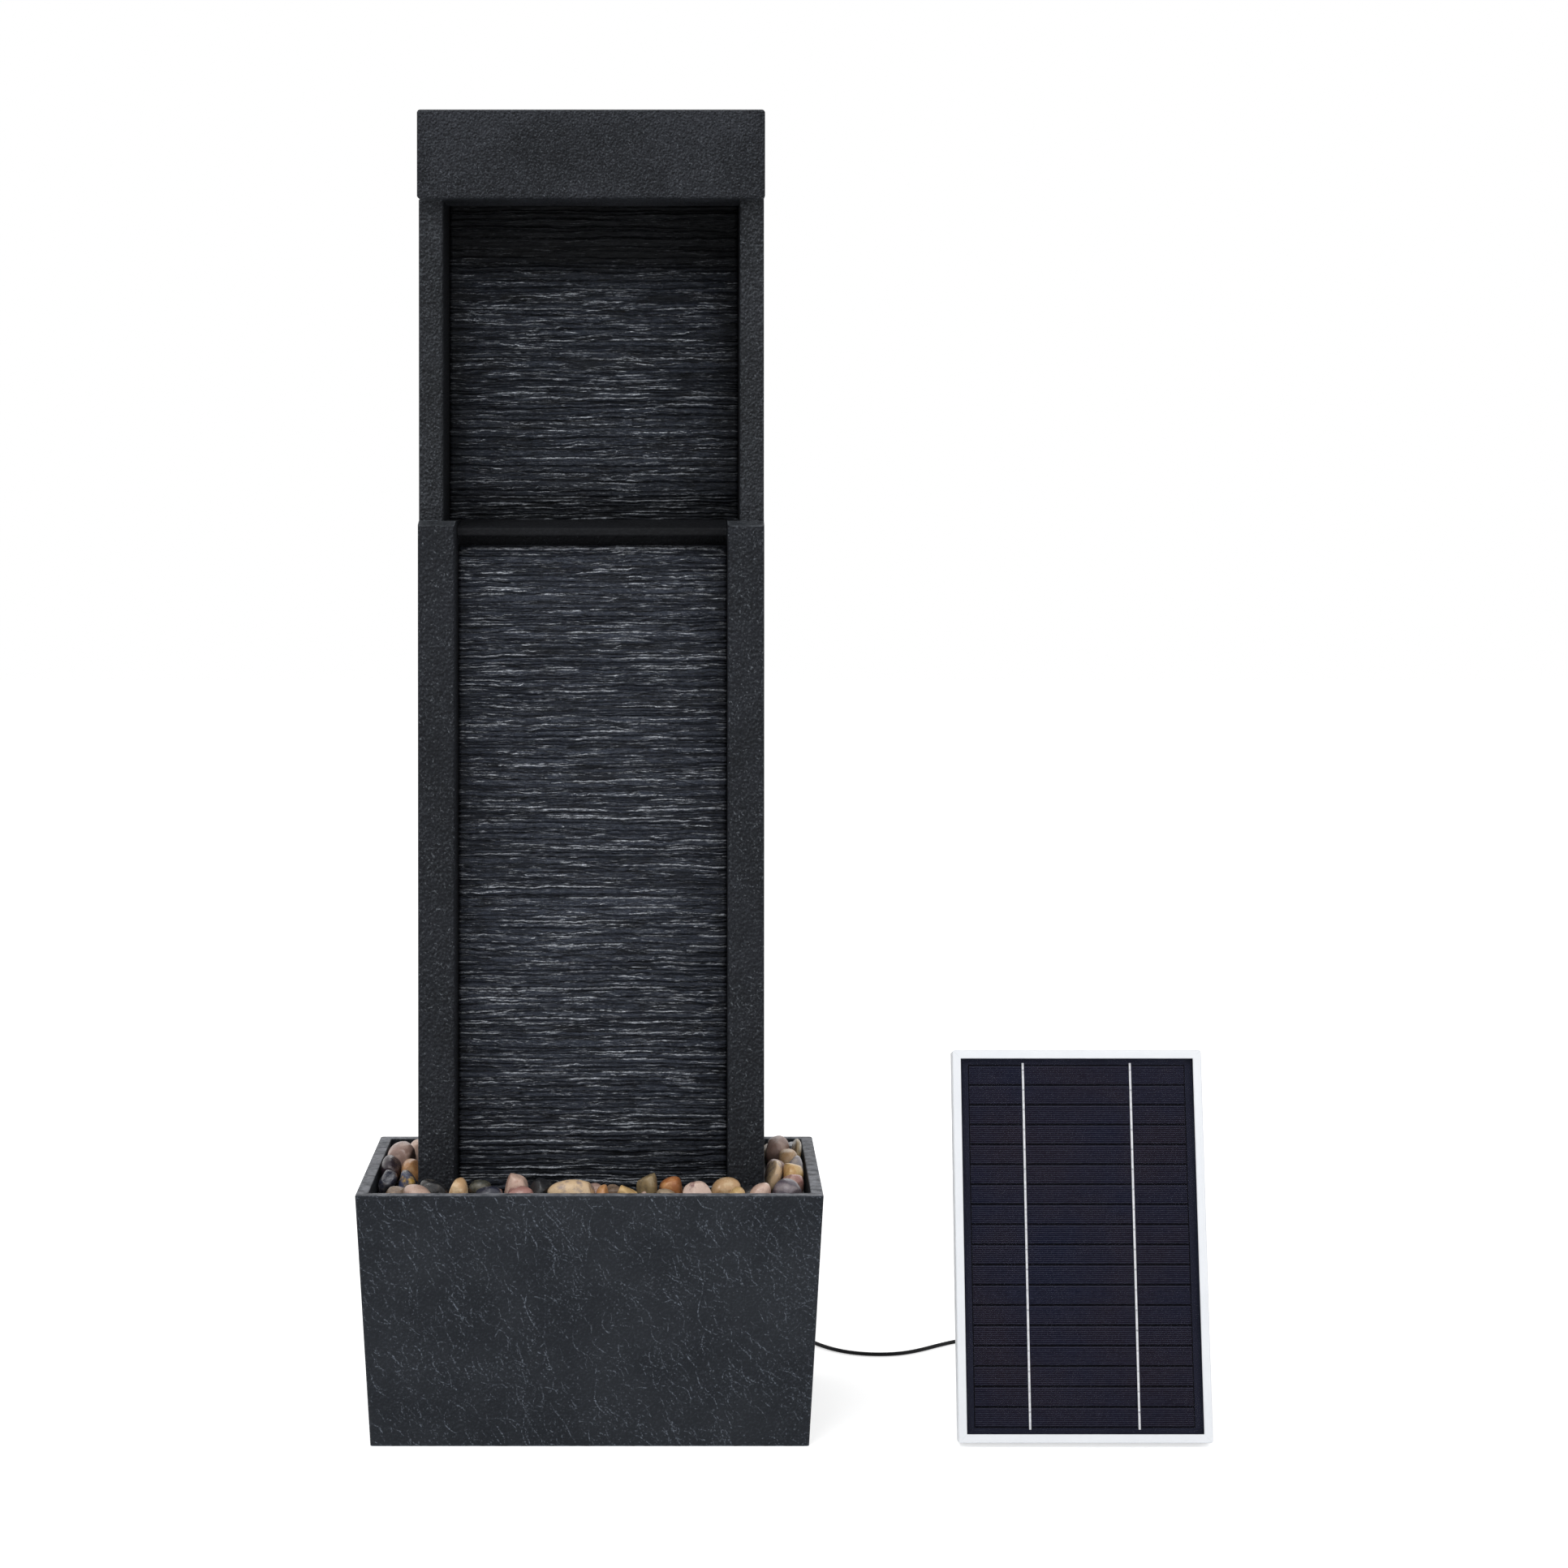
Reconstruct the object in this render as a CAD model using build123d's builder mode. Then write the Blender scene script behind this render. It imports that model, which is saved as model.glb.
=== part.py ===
"""Solar slate waterfall fountain with its panel, pump and lead, in millimetres.

The origin is the middle of the basin's underside. X is to the right as seen
from the front, Y goes to the back and Z goes up.
"""
import math
import os

from build123d import *

os.makedirs("parts", exist_ok=True)

# Basin
basin_height = 181.0
basin_top_width = 333.0
basin_top_depth = 225.0
basin_bottom_width = 313.0
basin_bottom_depth = 205.0
basin_wall = 9.0
basin_floor = 9.0
basin_corner = 2.5
rim_round = 1.2

# Tower, lower section
tower_half_width = 125.5
tower_back = 86.0
casting_wall = 5.0
lower_front = -57.0
lower_inner = 99.0
lower_web = -2.0
lower_front_top = 655.2
deck_top = 658.5
deck_thickness = 7.0
web_top = 647.3
post_round = 2.0

# Tower, upper section
upper_front = -45.0
upper_inner = 108.0
upper_web = 40.0
upper_top = 892.0

# Slate panels and the ledge between them
slate_gap = 0.4
slate_thickness = 10.0
slate_layer = 2.9
slate_relief = 1.6
lower_slate_bottom = 60.0
lower_slate_top = 640.0
upper_slate_top = 905.0
ledge_front = -26.0
ledge_front_top = 653.2
ledge_back = 44.0

# Header and trough
header_half_width = 126.0
header_front = -57.0
header_back = 88.0
header_top = 956.4
header_wall = 6.0
header_round = 2.4
soffit_back = 18.0
trough_half_width = 100.0
trough_front = 41.0
trough_back = 81.5
trough_bottom = 892.0
trough_top = 928.0
trough_wall = 2.5
weir_lip_front = 27.0
weir_lip_top = 918.0

# Rear cover
cover_front = 80.0
cover_half_width = 119.8
cover_bottom = 12.0
cover_top = 892.0
cover_screw_x = 112.0
cover_screw_heights = [80.0, 350.0, 620.0, 690.0, 868.0]
screw_radius = 2.0
screw_head_radius = 3.8
boss_size = 13.0
boss_depth = 14.0

# Pump and hose
hose_y = 56.0
hose_outer = 7.0
hose_inner = 5.0
pump_floor_gap = 6.0
pump_left = -7.0
pump_right = 41.0
pump_half_depth = 20.0
pump_height = 38.0
nozzle_radius = 4.9
nozzle_bore = 3.3
nozzle_length = 22.0
chamber_radius = 14.0
chamber_depth = 14.0
rotor_radius = 8.0
rotor_well_radius = 8.8
rotor_length = 22.0
shaft_radius = 1.5
running_gap = 0.05
vane_count = 5
cover_depth = 12.0
dial_radius = 8.0

# Pebble tray and pebbles
tray_top = 166.0
tray_thickness = 3.0
tray_gap = 1.2
tray_leg_radius = 4.0

# Cable grommet in the basin's rear wall
cord_radius = 1.5
grommet_x = 70.0
grommet_z = 130.0
grommet_hole = 5.0
grommet_flange = 7.5

# Solar panel
panel_x = 353.0
panel_foot_y = -92.7
panel_lean = math.degrees(0.2299)
panel_width = 181.0
panel_length = 277.0
panel_depth = 17.0
frame_flange = 6.1
frame_wall = 1.6
frame_lip = 1.5
frame_shelf_bottom = 10.2
frame_shelf_top = 11.4
frame_foot_flange = 11.0
frame_foot_thickness = 1.4
cell_field_width = 156.0
cell_strip_count = 18
cell_pitch = 14.2
cell_strip_height = 13.5
ribbon_width = 1.5
sheet_thickness = 0.5
cell_thickness = 0.3
ribbon_thickness = 0.25
glass_thickness = 3.0
glass_edge_gap = 0.4

# Battery box, in the panel's own directions
box_width = 90.0
box_low = 118.0
box_high = 188.0
box_wall = 2.0
box_rear = -11.0
gasket_thickness = 1.0
lid_thickness = 2.0
box_corner = 4.0
button_radius = 5.0
button_travel = 1.2
cell_radius = 9.2
cell_length = 65.0
gland_length = 24.0

# Prop leg
leg_pivot_up = 230.0
leg_pivot_behind = 7.0
leg_lean = 8.0
leg_arm_x = 78.0
leg_strip = 2.5
leg_width = 10.0
leg_corner = 8.0
pad_thickness = 1.5
bolt_radius = 2.0
rivet_radius = 1.5

# Coil of spare lead behind the basin
coil_x = 105.0
coil_y = 168.0
coil_pitch = 3.6
coil_inner = 12.8
coil_turns_per_layer = 3
coil_layers = 4
coil_lift = 1.0
tie_thickness = 0.7
tie_width = 5.0


def write(piece, name):
    """Label one finished piece and write it to its own STEP file."""
    piece.label = name
    export_step(piece, f"parts/{name}.step")


def inner_half(bottom_size, top_size, height):
    """Half size of the basin's inside at a height above the ground."""
    share = (height - basin_floor) / (basin_height - basin_floor)
    low = bottom_size / 2 - basin_wall
    high = top_size / 2 - basin_wall
    return low + (high - low) * share


def plan_outline(half_width, front, inner, web, back):
    """Plan of a tower section: two posts either side of a recess."""
    return [
        (-half_width, back),
        (-half_width, front),
        (-inner, front),
        (-inner, web),
        (inner, web),
        (inner, front),
        (half_width, front),
        (half_width, back),
    ]


# Basin, a tapered tub with a hole for the lead in its rear wall
rear_slope = math.atan2((basin_top_depth - basin_bottom_depth) / 2, basin_height)
rear_y = basin_bottom_depth / 2 + grommet_z * math.tan(rear_slope)
grommet_plane = Plane(
    origin=(grommet_x, rear_y, grommet_z),
    x_dir=(-1, 0, 0),
    z_dir=(0, math.cos(rear_slope), -math.sin(rear_slope)),
)
with BuildPart() as basin:
    with BuildSketch():
        RectangleRounded(basin_bottom_width, basin_bottom_depth, basin_corner)
    with BuildSketch(Plane.XY.offset(basin_height)):
        RectangleRounded(basin_top_width, basin_top_depth, basin_corner)
    loft(ruled=True)
    with BuildSketch(Plane.XY.offset(basin_floor)):
        RectangleRounded(
            basin_bottom_width - 2 * basin_wall,
            basin_bottom_depth - 2 * basin_wall,
            basin_corner,
        )
    with BuildSketch(Plane.XY.offset(basin_height)):
        RectangleRounded(
            basin_top_width - 2 * basin_wall,
            basin_top_depth - 2 * basin_wall,
            basin_corner,
        )
    loft(ruled=True, mode=Mode.SUBTRACT)
    fillet(basin.edges().group_by(Axis.Z)[-1], rim_round)
    with BuildSketch(grommet_plane.offset(5)):
        Circle(grommet_hole)
    extrude(amount=-25, mode=Mode.SUBTRACT)
write(basin.part, "basin")

# Grommet: a flange on each side of the wall and a neck through it
grommet_inside = inner_half(basin_bottom_depth, basin_top_depth, grommet_z)
basin_wall_square = (rear_y - grommet_inside) * math.cos(rear_slope) + 0.1
with BuildPart() as grommet:
    with BuildSketch(grommet_plane):
        Circle(grommet_flange)
    extrude(amount=2.5)
    with BuildSketch(grommet_plane):
        Circle(grommet_hole)
    extrude(amount=-basin_wall_square)
    with BuildSketch(grommet_plane.offset(-basin_wall_square)):
        Circle(grommet_flange)
    extrude(amount=-2.0)
    rounded = grommet.edges().filter_by(GeomType.CIRCLE).sort_by(Axis.Y)
    fillet([edge for edge in rounded if edge.radius > grommet_hole + 1], 0.8)
write(grommet.part, "lead_grommet")

# Lower tower casting: the posts, the web behind the lower slate and the decks
with BuildPart() as lower:
    with BuildSketch(Plane.XY.offset(basin_floor)):
        Polygon(*plan_outline(tower_half_width, lower_front, lower_inner, lower_web, tower_back))
    extrude(amount=deck_top - basin_floor)
    outer_corners = [
        edge
        for edge in lower.edges().filter_by(Axis.Z)
        if abs(edge.center().Y - lower_front) < 0.1
    ]
    fillet(outer_corners, post_round)
    with BuildSketch(Plane.XY.offset(basin_floor)):
        Polygon(
            *plan_outline(
                tower_half_width - casting_wall,
                lower_front + casting_wall,
                lower_inner + casting_wall,
                lower_web + casting_wall,
                tower_back,
            )
        )
    extrude(amount=deck_top - deck_thickness - basin_floor, mode=Mode.SUBTRACT)
    # The middle stays open above the web for the ledge and the hose
    with BuildSketch(Plane.XY.offset(web_top)):
        with Locations((0, (lower_web + tower_back) / 2 + 10)):
            Rectangle(2 * lower_inner, tower_back - lower_web + 20)
    extrude(amount=60, mode=Mode.SUBTRACT)
    # The decks stop in front of the rear cover
    with BuildSketch(Plane.XY.offset(web_top - 20)):
        with Locations((0, (cover_front + tower_back) / 2)):
            Rectangle(2 * (tower_half_width - casting_wall), tower_back - cover_front)
    extrude(amount=60, mode=Mode.SUBTRACT)
    # The front edge of each shoulder slopes down towards the front
    with BuildSketch(Plane.YZ):
        Polygon(
            (upper_front, deck_top),
            (lower_front - 1, lower_front_top - 0.3),
            (lower_front - 1, deck_top + 1),
            (upper_front, deck_top + 1),
        )
    extrude(amount=tower_half_width + 1, both=True, mode=Mode.SUBTRACT)
    # Water gets in through an arch at the foot of the web
    with BuildSketch(Plane.XZ.offset(-20)):
        with Locations((0, basin_floor + 16)):
            Rectangle(120, 32)
    extrude(amount=40, mode=Mode.SUBTRACT)
    # Bosses for the rear cover
    for height in cover_screw_heights[:3]:
        for side in (-1, 1):
            with Locations((side * cover_screw_x, cover_front - boss_depth / 2, height)):
                Box(2 * (tower_half_width - casting_wall - cover_screw_x), boss_depth, boss_size)
    for height in cover_screw_heights[:3]:
        for side in (-1, 1):
            with BuildSketch(Plane.XZ.offset(-cover_front)):
                with Locations((side * cover_screw_x, height)):
                    Circle(screw_radius)
            extrude(amount=boss_depth - 2, mode=Mode.SUBTRACT)
write(lower.part, "tower_lower_casting")



def slate_outline(back, bottom, top, edge_round):
    """Side view of a slate panel: thin layers that stand out by turns."""
    face = back - slate_thickness
    layers = round((top - bottom - edge_round) / slate_layer)
    step = (top - bottom - edge_round) / layers
    outline = [(back, bottom)]
    for layer in range(layers):
        stands_out = 0.5 + 0.3 * math.sin(1.7 * layer) + 0.2 * math.sin(4.1 * layer + 1)
        front = face + slate_relief * (0.5 - stands_out)
        outline.append((front, bottom + step * (layer + 0.1)))
        outline.append((front, bottom + step * (layer + 0.7)))
    if edge_round > 0:
        outline.append((face + 0.3 * edge_round, top - 0.3 * edge_round))
    outline.append((face + edge_round, top))
    outline.append((back, top))
    return outline


# Lower slate panel in front of the web
with BuildPart() as lower_slate:
    with BuildSketch(Plane.YZ):
        Polygon(*slate_outline(lower_web, lower_slate_bottom, lower_slate_top, 3.0))
    extrude(amount=lower_inner - slate_gap, both=True)
write(lower_slate.part, "lower_slate_panel")

# Spill ledge on the web, sloping a little to the front
with BuildPart() as ledge:
    with BuildSketch(Plane.YZ):
        Polygon(
            (ledge_front, web_top),
            (ledge_front, ledge_front_top),
            (upper_web - slate_thickness, deck_top),
            (ledge_back, deck_top),
            (ledge_back, web_top),
        )
    extrude(amount=lower_inner - slate_gap, both=True)
    ledge_nose = ledge.faces().sort_by(Axis.Y)[0].edges().filter_by(Axis.X)
    fillet(ledge_nose, 1.6)
write(ledge.part, "spill_ledge")

# Upper tower casting
with BuildPart() as upper:
    with BuildSketch(Plane.XY.offset(deck_top)):
        Polygon(*plan_outline(tower_half_width, upper_front, upper_inner, upper_web, tower_back))
    extrude(amount=upper_top - deck_top)
    outer_corners = [
        edge
        for edge in upper.edges().filter_by(Axis.Z)
        if abs(edge.center().Y - upper_front) < 0.1
    ]
    fillet(outer_corners, post_round)
    with BuildSketch(Plane.XY.offset(deck_top)):
        Polygon(
            *plan_outline(
                tower_half_width - casting_wall,
                upper_front + casting_wall,
                upper_inner + casting_wall,
                upper_web + casting_wall,
                tower_back,
            )
        )
    extrude(amount=upper_top - deck_top, mode=Mode.SUBTRACT)
    for height in cover_screw_heights[3:]:
        for side in (-1, 1):
            with Locations((side * cover_screw_x, cover_front - boss_depth / 2, height)):
                Box(2 * (tower_half_width - casting_wall - cover_screw_x), boss_depth, boss_size)
    for height in cover_screw_heights[3:]:
        for side in (-1, 1):
            with BuildSketch(Plane.XZ.offset(-cover_front)):
                with Locations((side * cover_screw_x, height)):
                    Circle(screw_radius)
            extrude(amount=boss_depth - 2, mode=Mode.SUBTRACT)
write(upper.part, "tower_upper_casting")

# Upper slate panel, standing on the ledge and the decks
with BuildPart() as upper_slate:
    with BuildSketch(Plane.YZ):
        Polygon(*slate_outline(upper_web, deck_top, upper_slate_top, 0.0))
    extrude(amount=upper_inner - slate_gap, both=True)
write(upper_slate.part, "upper_slate_panel")

# Header, a hollow block with a slot in its underside for the falling water
with BuildPart() as header:
    with BuildSketch(Plane.XY.offset(upper_top)):
        with Locations((0, (header_front + header_back) / 2)):
            Rectangle(2 * header_half_width, header_back - header_front)
    extrude(amount=header_top - upper_top)
    fillet(header.edges(), header_round)
    with BuildSketch(Plane.XY.offset(upper_top + header_wall)):
        with Locations((0, (header_front + header_back) / 2)):
            Rectangle(
                2 * (header_half_width - header_wall),
                header_back - header_front - 2 * header_wall,
            )
    extrude(amount=header_top - upper_top - 2 * header_wall, mode=Mode.SUBTRACT)
    with BuildSketch(Plane.XY.offset(upper_top - 1)):
        with Locations((0, (soffit_back + header_back - header_wall) / 2)):
            Rectangle(
                2 * (upper_inner + 1),
                header_back - header_wall - soffit_back,
            )
    extrude(amount=header_wall + 2, mode=Mode.SUBTRACT)
write(header.part, "header")

# Head trough: an open tray with a weir lip at its front
trough_mid_y = (trough_front + trough_back) / 2
with BuildPart() as trough:
    with BuildSketch(Plane.XY.offset(trough_bottom)):
        with Locations((0, trough_mid_y)):
            RectangleRounded(2 * trough_half_width, trough_back - trough_front, 3)
    extrude(amount=trough_top - trough_bottom)
    with BuildSketch(Plane.XY.offset(trough_bottom + trough_wall)):
        with Locations((0, trough_mid_y)):
            RectangleRounded(
                2 * (trough_half_width - trough_wall),
                trough_back - trough_front - 2 * trough_wall,
                1,
            )
    extrude(amount=trough_top - trough_bottom, mode=Mode.SUBTRACT)
    with Locations((0, trough_front, (weir_lip_top + trough_top) / 2 + 1)):
        Box(2 * trough_half_width - 16, 12, trough_top - weir_lip_top + 2, mode=Mode.SUBTRACT)
    with BuildSketch(Plane.YZ):
        Polygon(
            (trough_front + trough_wall, weir_lip_top),
            (trough_front + trough_wall, weir_lip_top - 3),
            (weir_lip_front, weir_lip_top - 6),
            (weir_lip_front, weir_lip_top - 4),
        )
    extrude(amount=trough_half_width - 9, both=True)
    # The hose tail's hole
    with BuildSketch(Plane.XY.offset(trough_bottom - 1)):
        with Locations((0, hose_y)):
            Circle(5.5)
    extrude(amount=8, mode=Mode.SUBTRACT)
write(trough.part, "head_trough")

# Hose tail through the trough's bottom: flange inside, barb below
tail_bottom = trough_bottom - 26
with BuildPart() as hose_tail:
    with BuildSketch(Plane.XZ.offset(-hose_y)):
        Polygon(
            (nozzle_bore, tail_bottom),
            (nozzle_radius - 0.7, tail_bottom),
            (nozzle_radius, tail_bottom + 5),
            (nozzle_radius, trough_bottom - 4),
            (8.0, trough_bottom - 4),
            (8.0, trough_bottom),
            (5.5, trough_bottom),
            (5.5, trough_bottom + trough_wall),
            (8.5, trough_bottom + trough_wall),
            (8.5, trough_bottom + trough_wall + 2),
            (nozzle_bore, trough_bottom + trough_wall + 2),
        )
    revolve(axis=Axis((0, hose_y, 0), (0, 0, 1)))
write(hose_tail.part, "hose_tail")

# Riser hose between the pump's nozzle and the tail
pump_bottom = basin_floor + pump_floor_gap
pump_top = pump_bottom + pump_height
hose_bottom = pump_top + 4
hose_top = trough_bottom - 6
with BuildPart() as hose:
    with BuildSketch(Plane.XY.offset(hose_bottom)):
        with Locations((0, hose_y)):
            Circle(hose_outer)
            Circle(hose_inner, mode=Mode.SUBTRACT)
    extrude(amount=hose_top - hose_bottom)
write(hose.part, "riser_hose")

# Rear cover, let in between the tower's side walls
with BuildPart() as cover:
    with BuildSketch(Plane.XZ.offset(-cover_front)):
        with Locations((0, (cover_bottom + cover_top) / 2)):
            Rectangle(2 * cover_half_width, cover_top - cover_bottom)
        with Locations((grommet_x, cover_bottom + 20)):
            Rectangle(24, 60, mode=Mode.SUBTRACT)
        for height in cover_screw_heights:
            with Locations((-cover_screw_x, height), (cover_screw_x, height)):
                Circle(screw_radius + 0.3, mode=Mode.SUBTRACT)
    extrude(amount=-(tower_back - cover_front))
    fillet(cover.faces().sort_by(Axis.Y)[-1].outer_wire().edges().filter_by(Axis.Z), 1.0)
write(cover.part, "rear_cover")

# Rear cover screws, pan heads behind the cover
with BuildPart() as cover_screws:
    for height in cover_screw_heights:
        for side in (-1, 1):
            with BuildSketch(Plane.XZ.offset(-(cover_front - boss_depth + 3))):
                with Locations((side * cover_screw_x, height)):
                    Circle(screw_radius)
            extrude(amount=-(tower_back - cover_front + boss_depth - 3))
            with BuildSketch(Plane.XZ.offset(-tower_back)):
                with Locations((side * cover_screw_x, height)):
                    Circle(screw_head_radius)
            extrude(amount=-2.4)
            with BuildSketch(Plane.XZ.offset(-(tower_back + 2.4))):
                with Locations((side * cover_screw_x, height)):
                    Rectangle(4.4, 0.9)
                    Rectangle(0.9, 4.4)
            extrude(amount=1.3, mode=Mode.SUBTRACT)
write(cover_screws.part, "cover_screws")

# Pump housing: chamber at the left, rotor well behind it, nozzle on top
pump_mid_x = (pump_left + pump_right) / 2
pump_mid_z = pump_bottom + pump_height / 2
chamber_plane = Plane(origin=(pump_left, hose_y, pump_mid_z), x_dir=(0, 1, 0), z_dir=(1, 0, 0))
with BuildPart() as pump:
    with Locations((pump_mid_x, hose_y, pump_mid_z)):
        Box(pump_right - pump_left, 2 * pump_half_depth, pump_height)
    fillet(pump.edges().filter_by(Axis.X), 6.0)
    fillet(pump.faces().sort_by(Axis.X)[-1].edges(), 3.0)
    with BuildSketch(Plane.XY.offset(pump_top - 1)):
        with Locations((0, hose_y)):
            Circle(nozzle_radius)
    extrude(amount=nozzle_length + 1)
    with BuildSketch(chamber_plane):
        Circle(chamber_radius)
    extrude(amount=chamber_depth, mode=Mode.SUBTRACT)
    with BuildSketch(chamber_plane.offset(chamber_depth)):
        Circle(rotor_well_radius)
    extrude(amount=rotor_length + 1.5, mode=Mode.SUBTRACT)
    with BuildSketch(chamber_plane.offset(chamber_depth + rotor_length + 1.5)):
        Circle(shaft_radius)
    extrude(amount=4, mode=Mode.SUBTRACT)
    with BuildSketch(Plane.XY.offset(pump_top + nozzle_length)):
        with Locations((0, hose_y)):
            Circle(nozzle_bore)
    extrude(amount=-(nozzle_length + 12), mode=Mode.SUBTRACT)
write(pump.part, "pump_housing")

# Pump cover over the chamber, with intake slots and a hole for the dial
dial_y = hose_y + 9.0
with BuildPart() as pump_cover:
    with BuildSketch(chamber_plane):
        RectangleRounded(2 * pump_half_depth, pump_height, 6)
    extrude(amount=-cover_depth)
    fillet(pump_cover.faces().sort_by(Axis.X)[0].edges(), 2.5)
    with BuildSketch(chamber_plane):
        RectangleRounded(2 * pump_half_depth - 5, pump_height - 5, 4)
    extrude(amount=-(cover_depth - 2.5), mode=Mode.SUBTRACT)
    with BuildSketch(chamber_plane):
        Circle(4.0)
    extrude(amount=-(cover_depth - 2.5))
    with BuildSketch(chamber_plane):
        Circle(shaft_radius)
    extrude(amount=-6, mode=Mode.SUBTRACT)
    for row in range(6):
        with BuildSketch(chamber_plane.offset(-cover_depth - 1)):
            with Locations((-11.5, -12.5 + 5 * row)):
                SlotOverall(11, 2.4)
        extrude(amount=5, mode=Mode.SUBTRACT)
    with BuildSketch(chamber_plane.offset(-cover_depth - 1)):
        with Locations((dial_y - hose_y, 0)):
            Circle(2.0 + running_gap)
    extrude(amount=5, mode=Mode.SUBTRACT)
write(pump_cover.part, "pump_cover")

# Flow dial on the cover: a disc with a grip, turning on a stub
dial_plane = Plane(
    origin=(pump_left - cover_depth, dial_y, pump_mid_z), x_dir=(0, 1, 0), z_dir=(1, 0, 0)
)
with BuildPart() as dial:
    with BuildSketch(dial_plane.offset(-0.4)):
        Circle(dial_radius)
    extrude(amount=-2.2)
    with BuildSketch(dial_plane.offset(-2.6)):
        SlotOverall(13, 3.2)
    extrude(amount=-3.4)
    with BuildSketch(dial_plane.offset(-0.4)):
        Circle(2.0)
    extrude(amount=4.4)
write(dial.part, "flow_dial")

# Impeller: magnet, disc and vanes in one piece on the shaft
with BuildPart() as impeller:
    with BuildSketch(chamber_plane.offset(chamber_depth + 0.6)):
        Circle(rotor_radius)
    extrude(amount=rotor_length - 0.4)
    with BuildSketch(chamber_plane.offset(chamber_depth - 3.4)):
        Circle(5.0)
    extrude(amount=4.2)
    with BuildSketch(chamber_plane.offset(chamber_depth - 5.4)):
        Circle(11.5)
    extrude(amount=2.2)
    with BuildSketch(chamber_plane.offset(chamber_depth - 11.0)):
        Circle(3.6)
        with PolarLocations(0, vane_count):
            with Locations((6.4, 0)):
                Rectangle(9.0, 1.4)
    extrude(amount=5.8)
    with BuildSketch(chamber_plane):
        Circle(shaft_radius + running_gap)
    extrude(amount=50, mode=Mode.SUBTRACT)
write(impeller.part, "pump_impeller")

# Shaft, held in the cover's boss and in the blind end of the rotor well
with BuildPart() as shaft:
    with BuildSketch(chamber_plane.offset(-6)):
        Circle(shaft_radius)
    extrude(amount=6 + chamber_depth + rotor_length + 1.5 + 4)
write(shaft.part, "pump_shaft")

# Suction feet under the pump
with BuildPart() as feet:
    for foot_x in (pump_left + 9, pump_right - 9):
        for foot_y in (hose_y - 12, hose_y + 12):
            with BuildSketch(Plane.XZ.offset(-foot_y)):
                Polygon(
                    (foot_x, basin_floor + 1.6),
                    (foot_x + 6.4, basin_floor),
                    (foot_x + 7.0, basin_floor),
                    (foot_x + 7.0, basin_floor + 0.8),
                    (foot_x + 3.0, basin_floor + 3.6),
                    (foot_x + 3.0, pump_bottom),
                    (foot_x, pump_bottom),
                )
            revolve(axis=Axis((foot_x, foot_y, 0), (0, 0, 1)))
write(feet.part, "pump_feet")

# Pebble tray: a slotted frame round the tower on four legs
tray_bottom = tray_top - tray_thickness
tray_half_x = inner_half(basin_bottom_width, basin_top_width, tray_bottom) - tray_gap
tray_half_y = inner_half(basin_bottom_depth, basin_top_depth, tray_bottom) - tray_gap
tray_hole_x = tower_half_width + 1.0
tray_hole_front = lower_front - 1.0
tray_hole_back = tower_back + 3.6
side_strip_x = (tray_half_x + tray_hole_x) / 2
front_strip_y = (-tray_half_y + tray_hole_front) / 2
with BuildPart() as tray:
    with BuildSketch(Plane.XY.offset(tray_bottom)):
        RectangleRounded(2 * tray_half_x, 2 * tray_half_y, 2)
        with Locations((0, (tray_hole_front + tray_hole_back) / 2)):
            Rectangle(2 * tray_hole_x, tray_hole_back - tray_hole_front, mode=Mode.SUBTRACT)
        for column in range(14):
            slot_x = -130 + 20 * column
            with Locations((slot_x, front_strip_y - 9), (slot_x, front_strip_y + 9)):
                SlotOverall(13, 4, mode=Mode.SUBTRACT)
        for row in range(6):
            slot_y = -35 + 20 * row
            with Locations((-side_strip_x, slot_y), (side_strip_x, slot_y)):
                SlotOverall(14, 4, mode=Mode.SUBTRACT)
    extrude(amount=tray_thickness)
    with BuildSketch(Plane.XY.offset(basin_floor)):
        with GridLocations(2 * 139, 2 * 85, 2, 2):
            Circle(tray_leg_radius)
    extrude(amount=tray_thickness + tray_bottom - basin_floor - 1)
write(tray.part, "pebble_tray")


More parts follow.
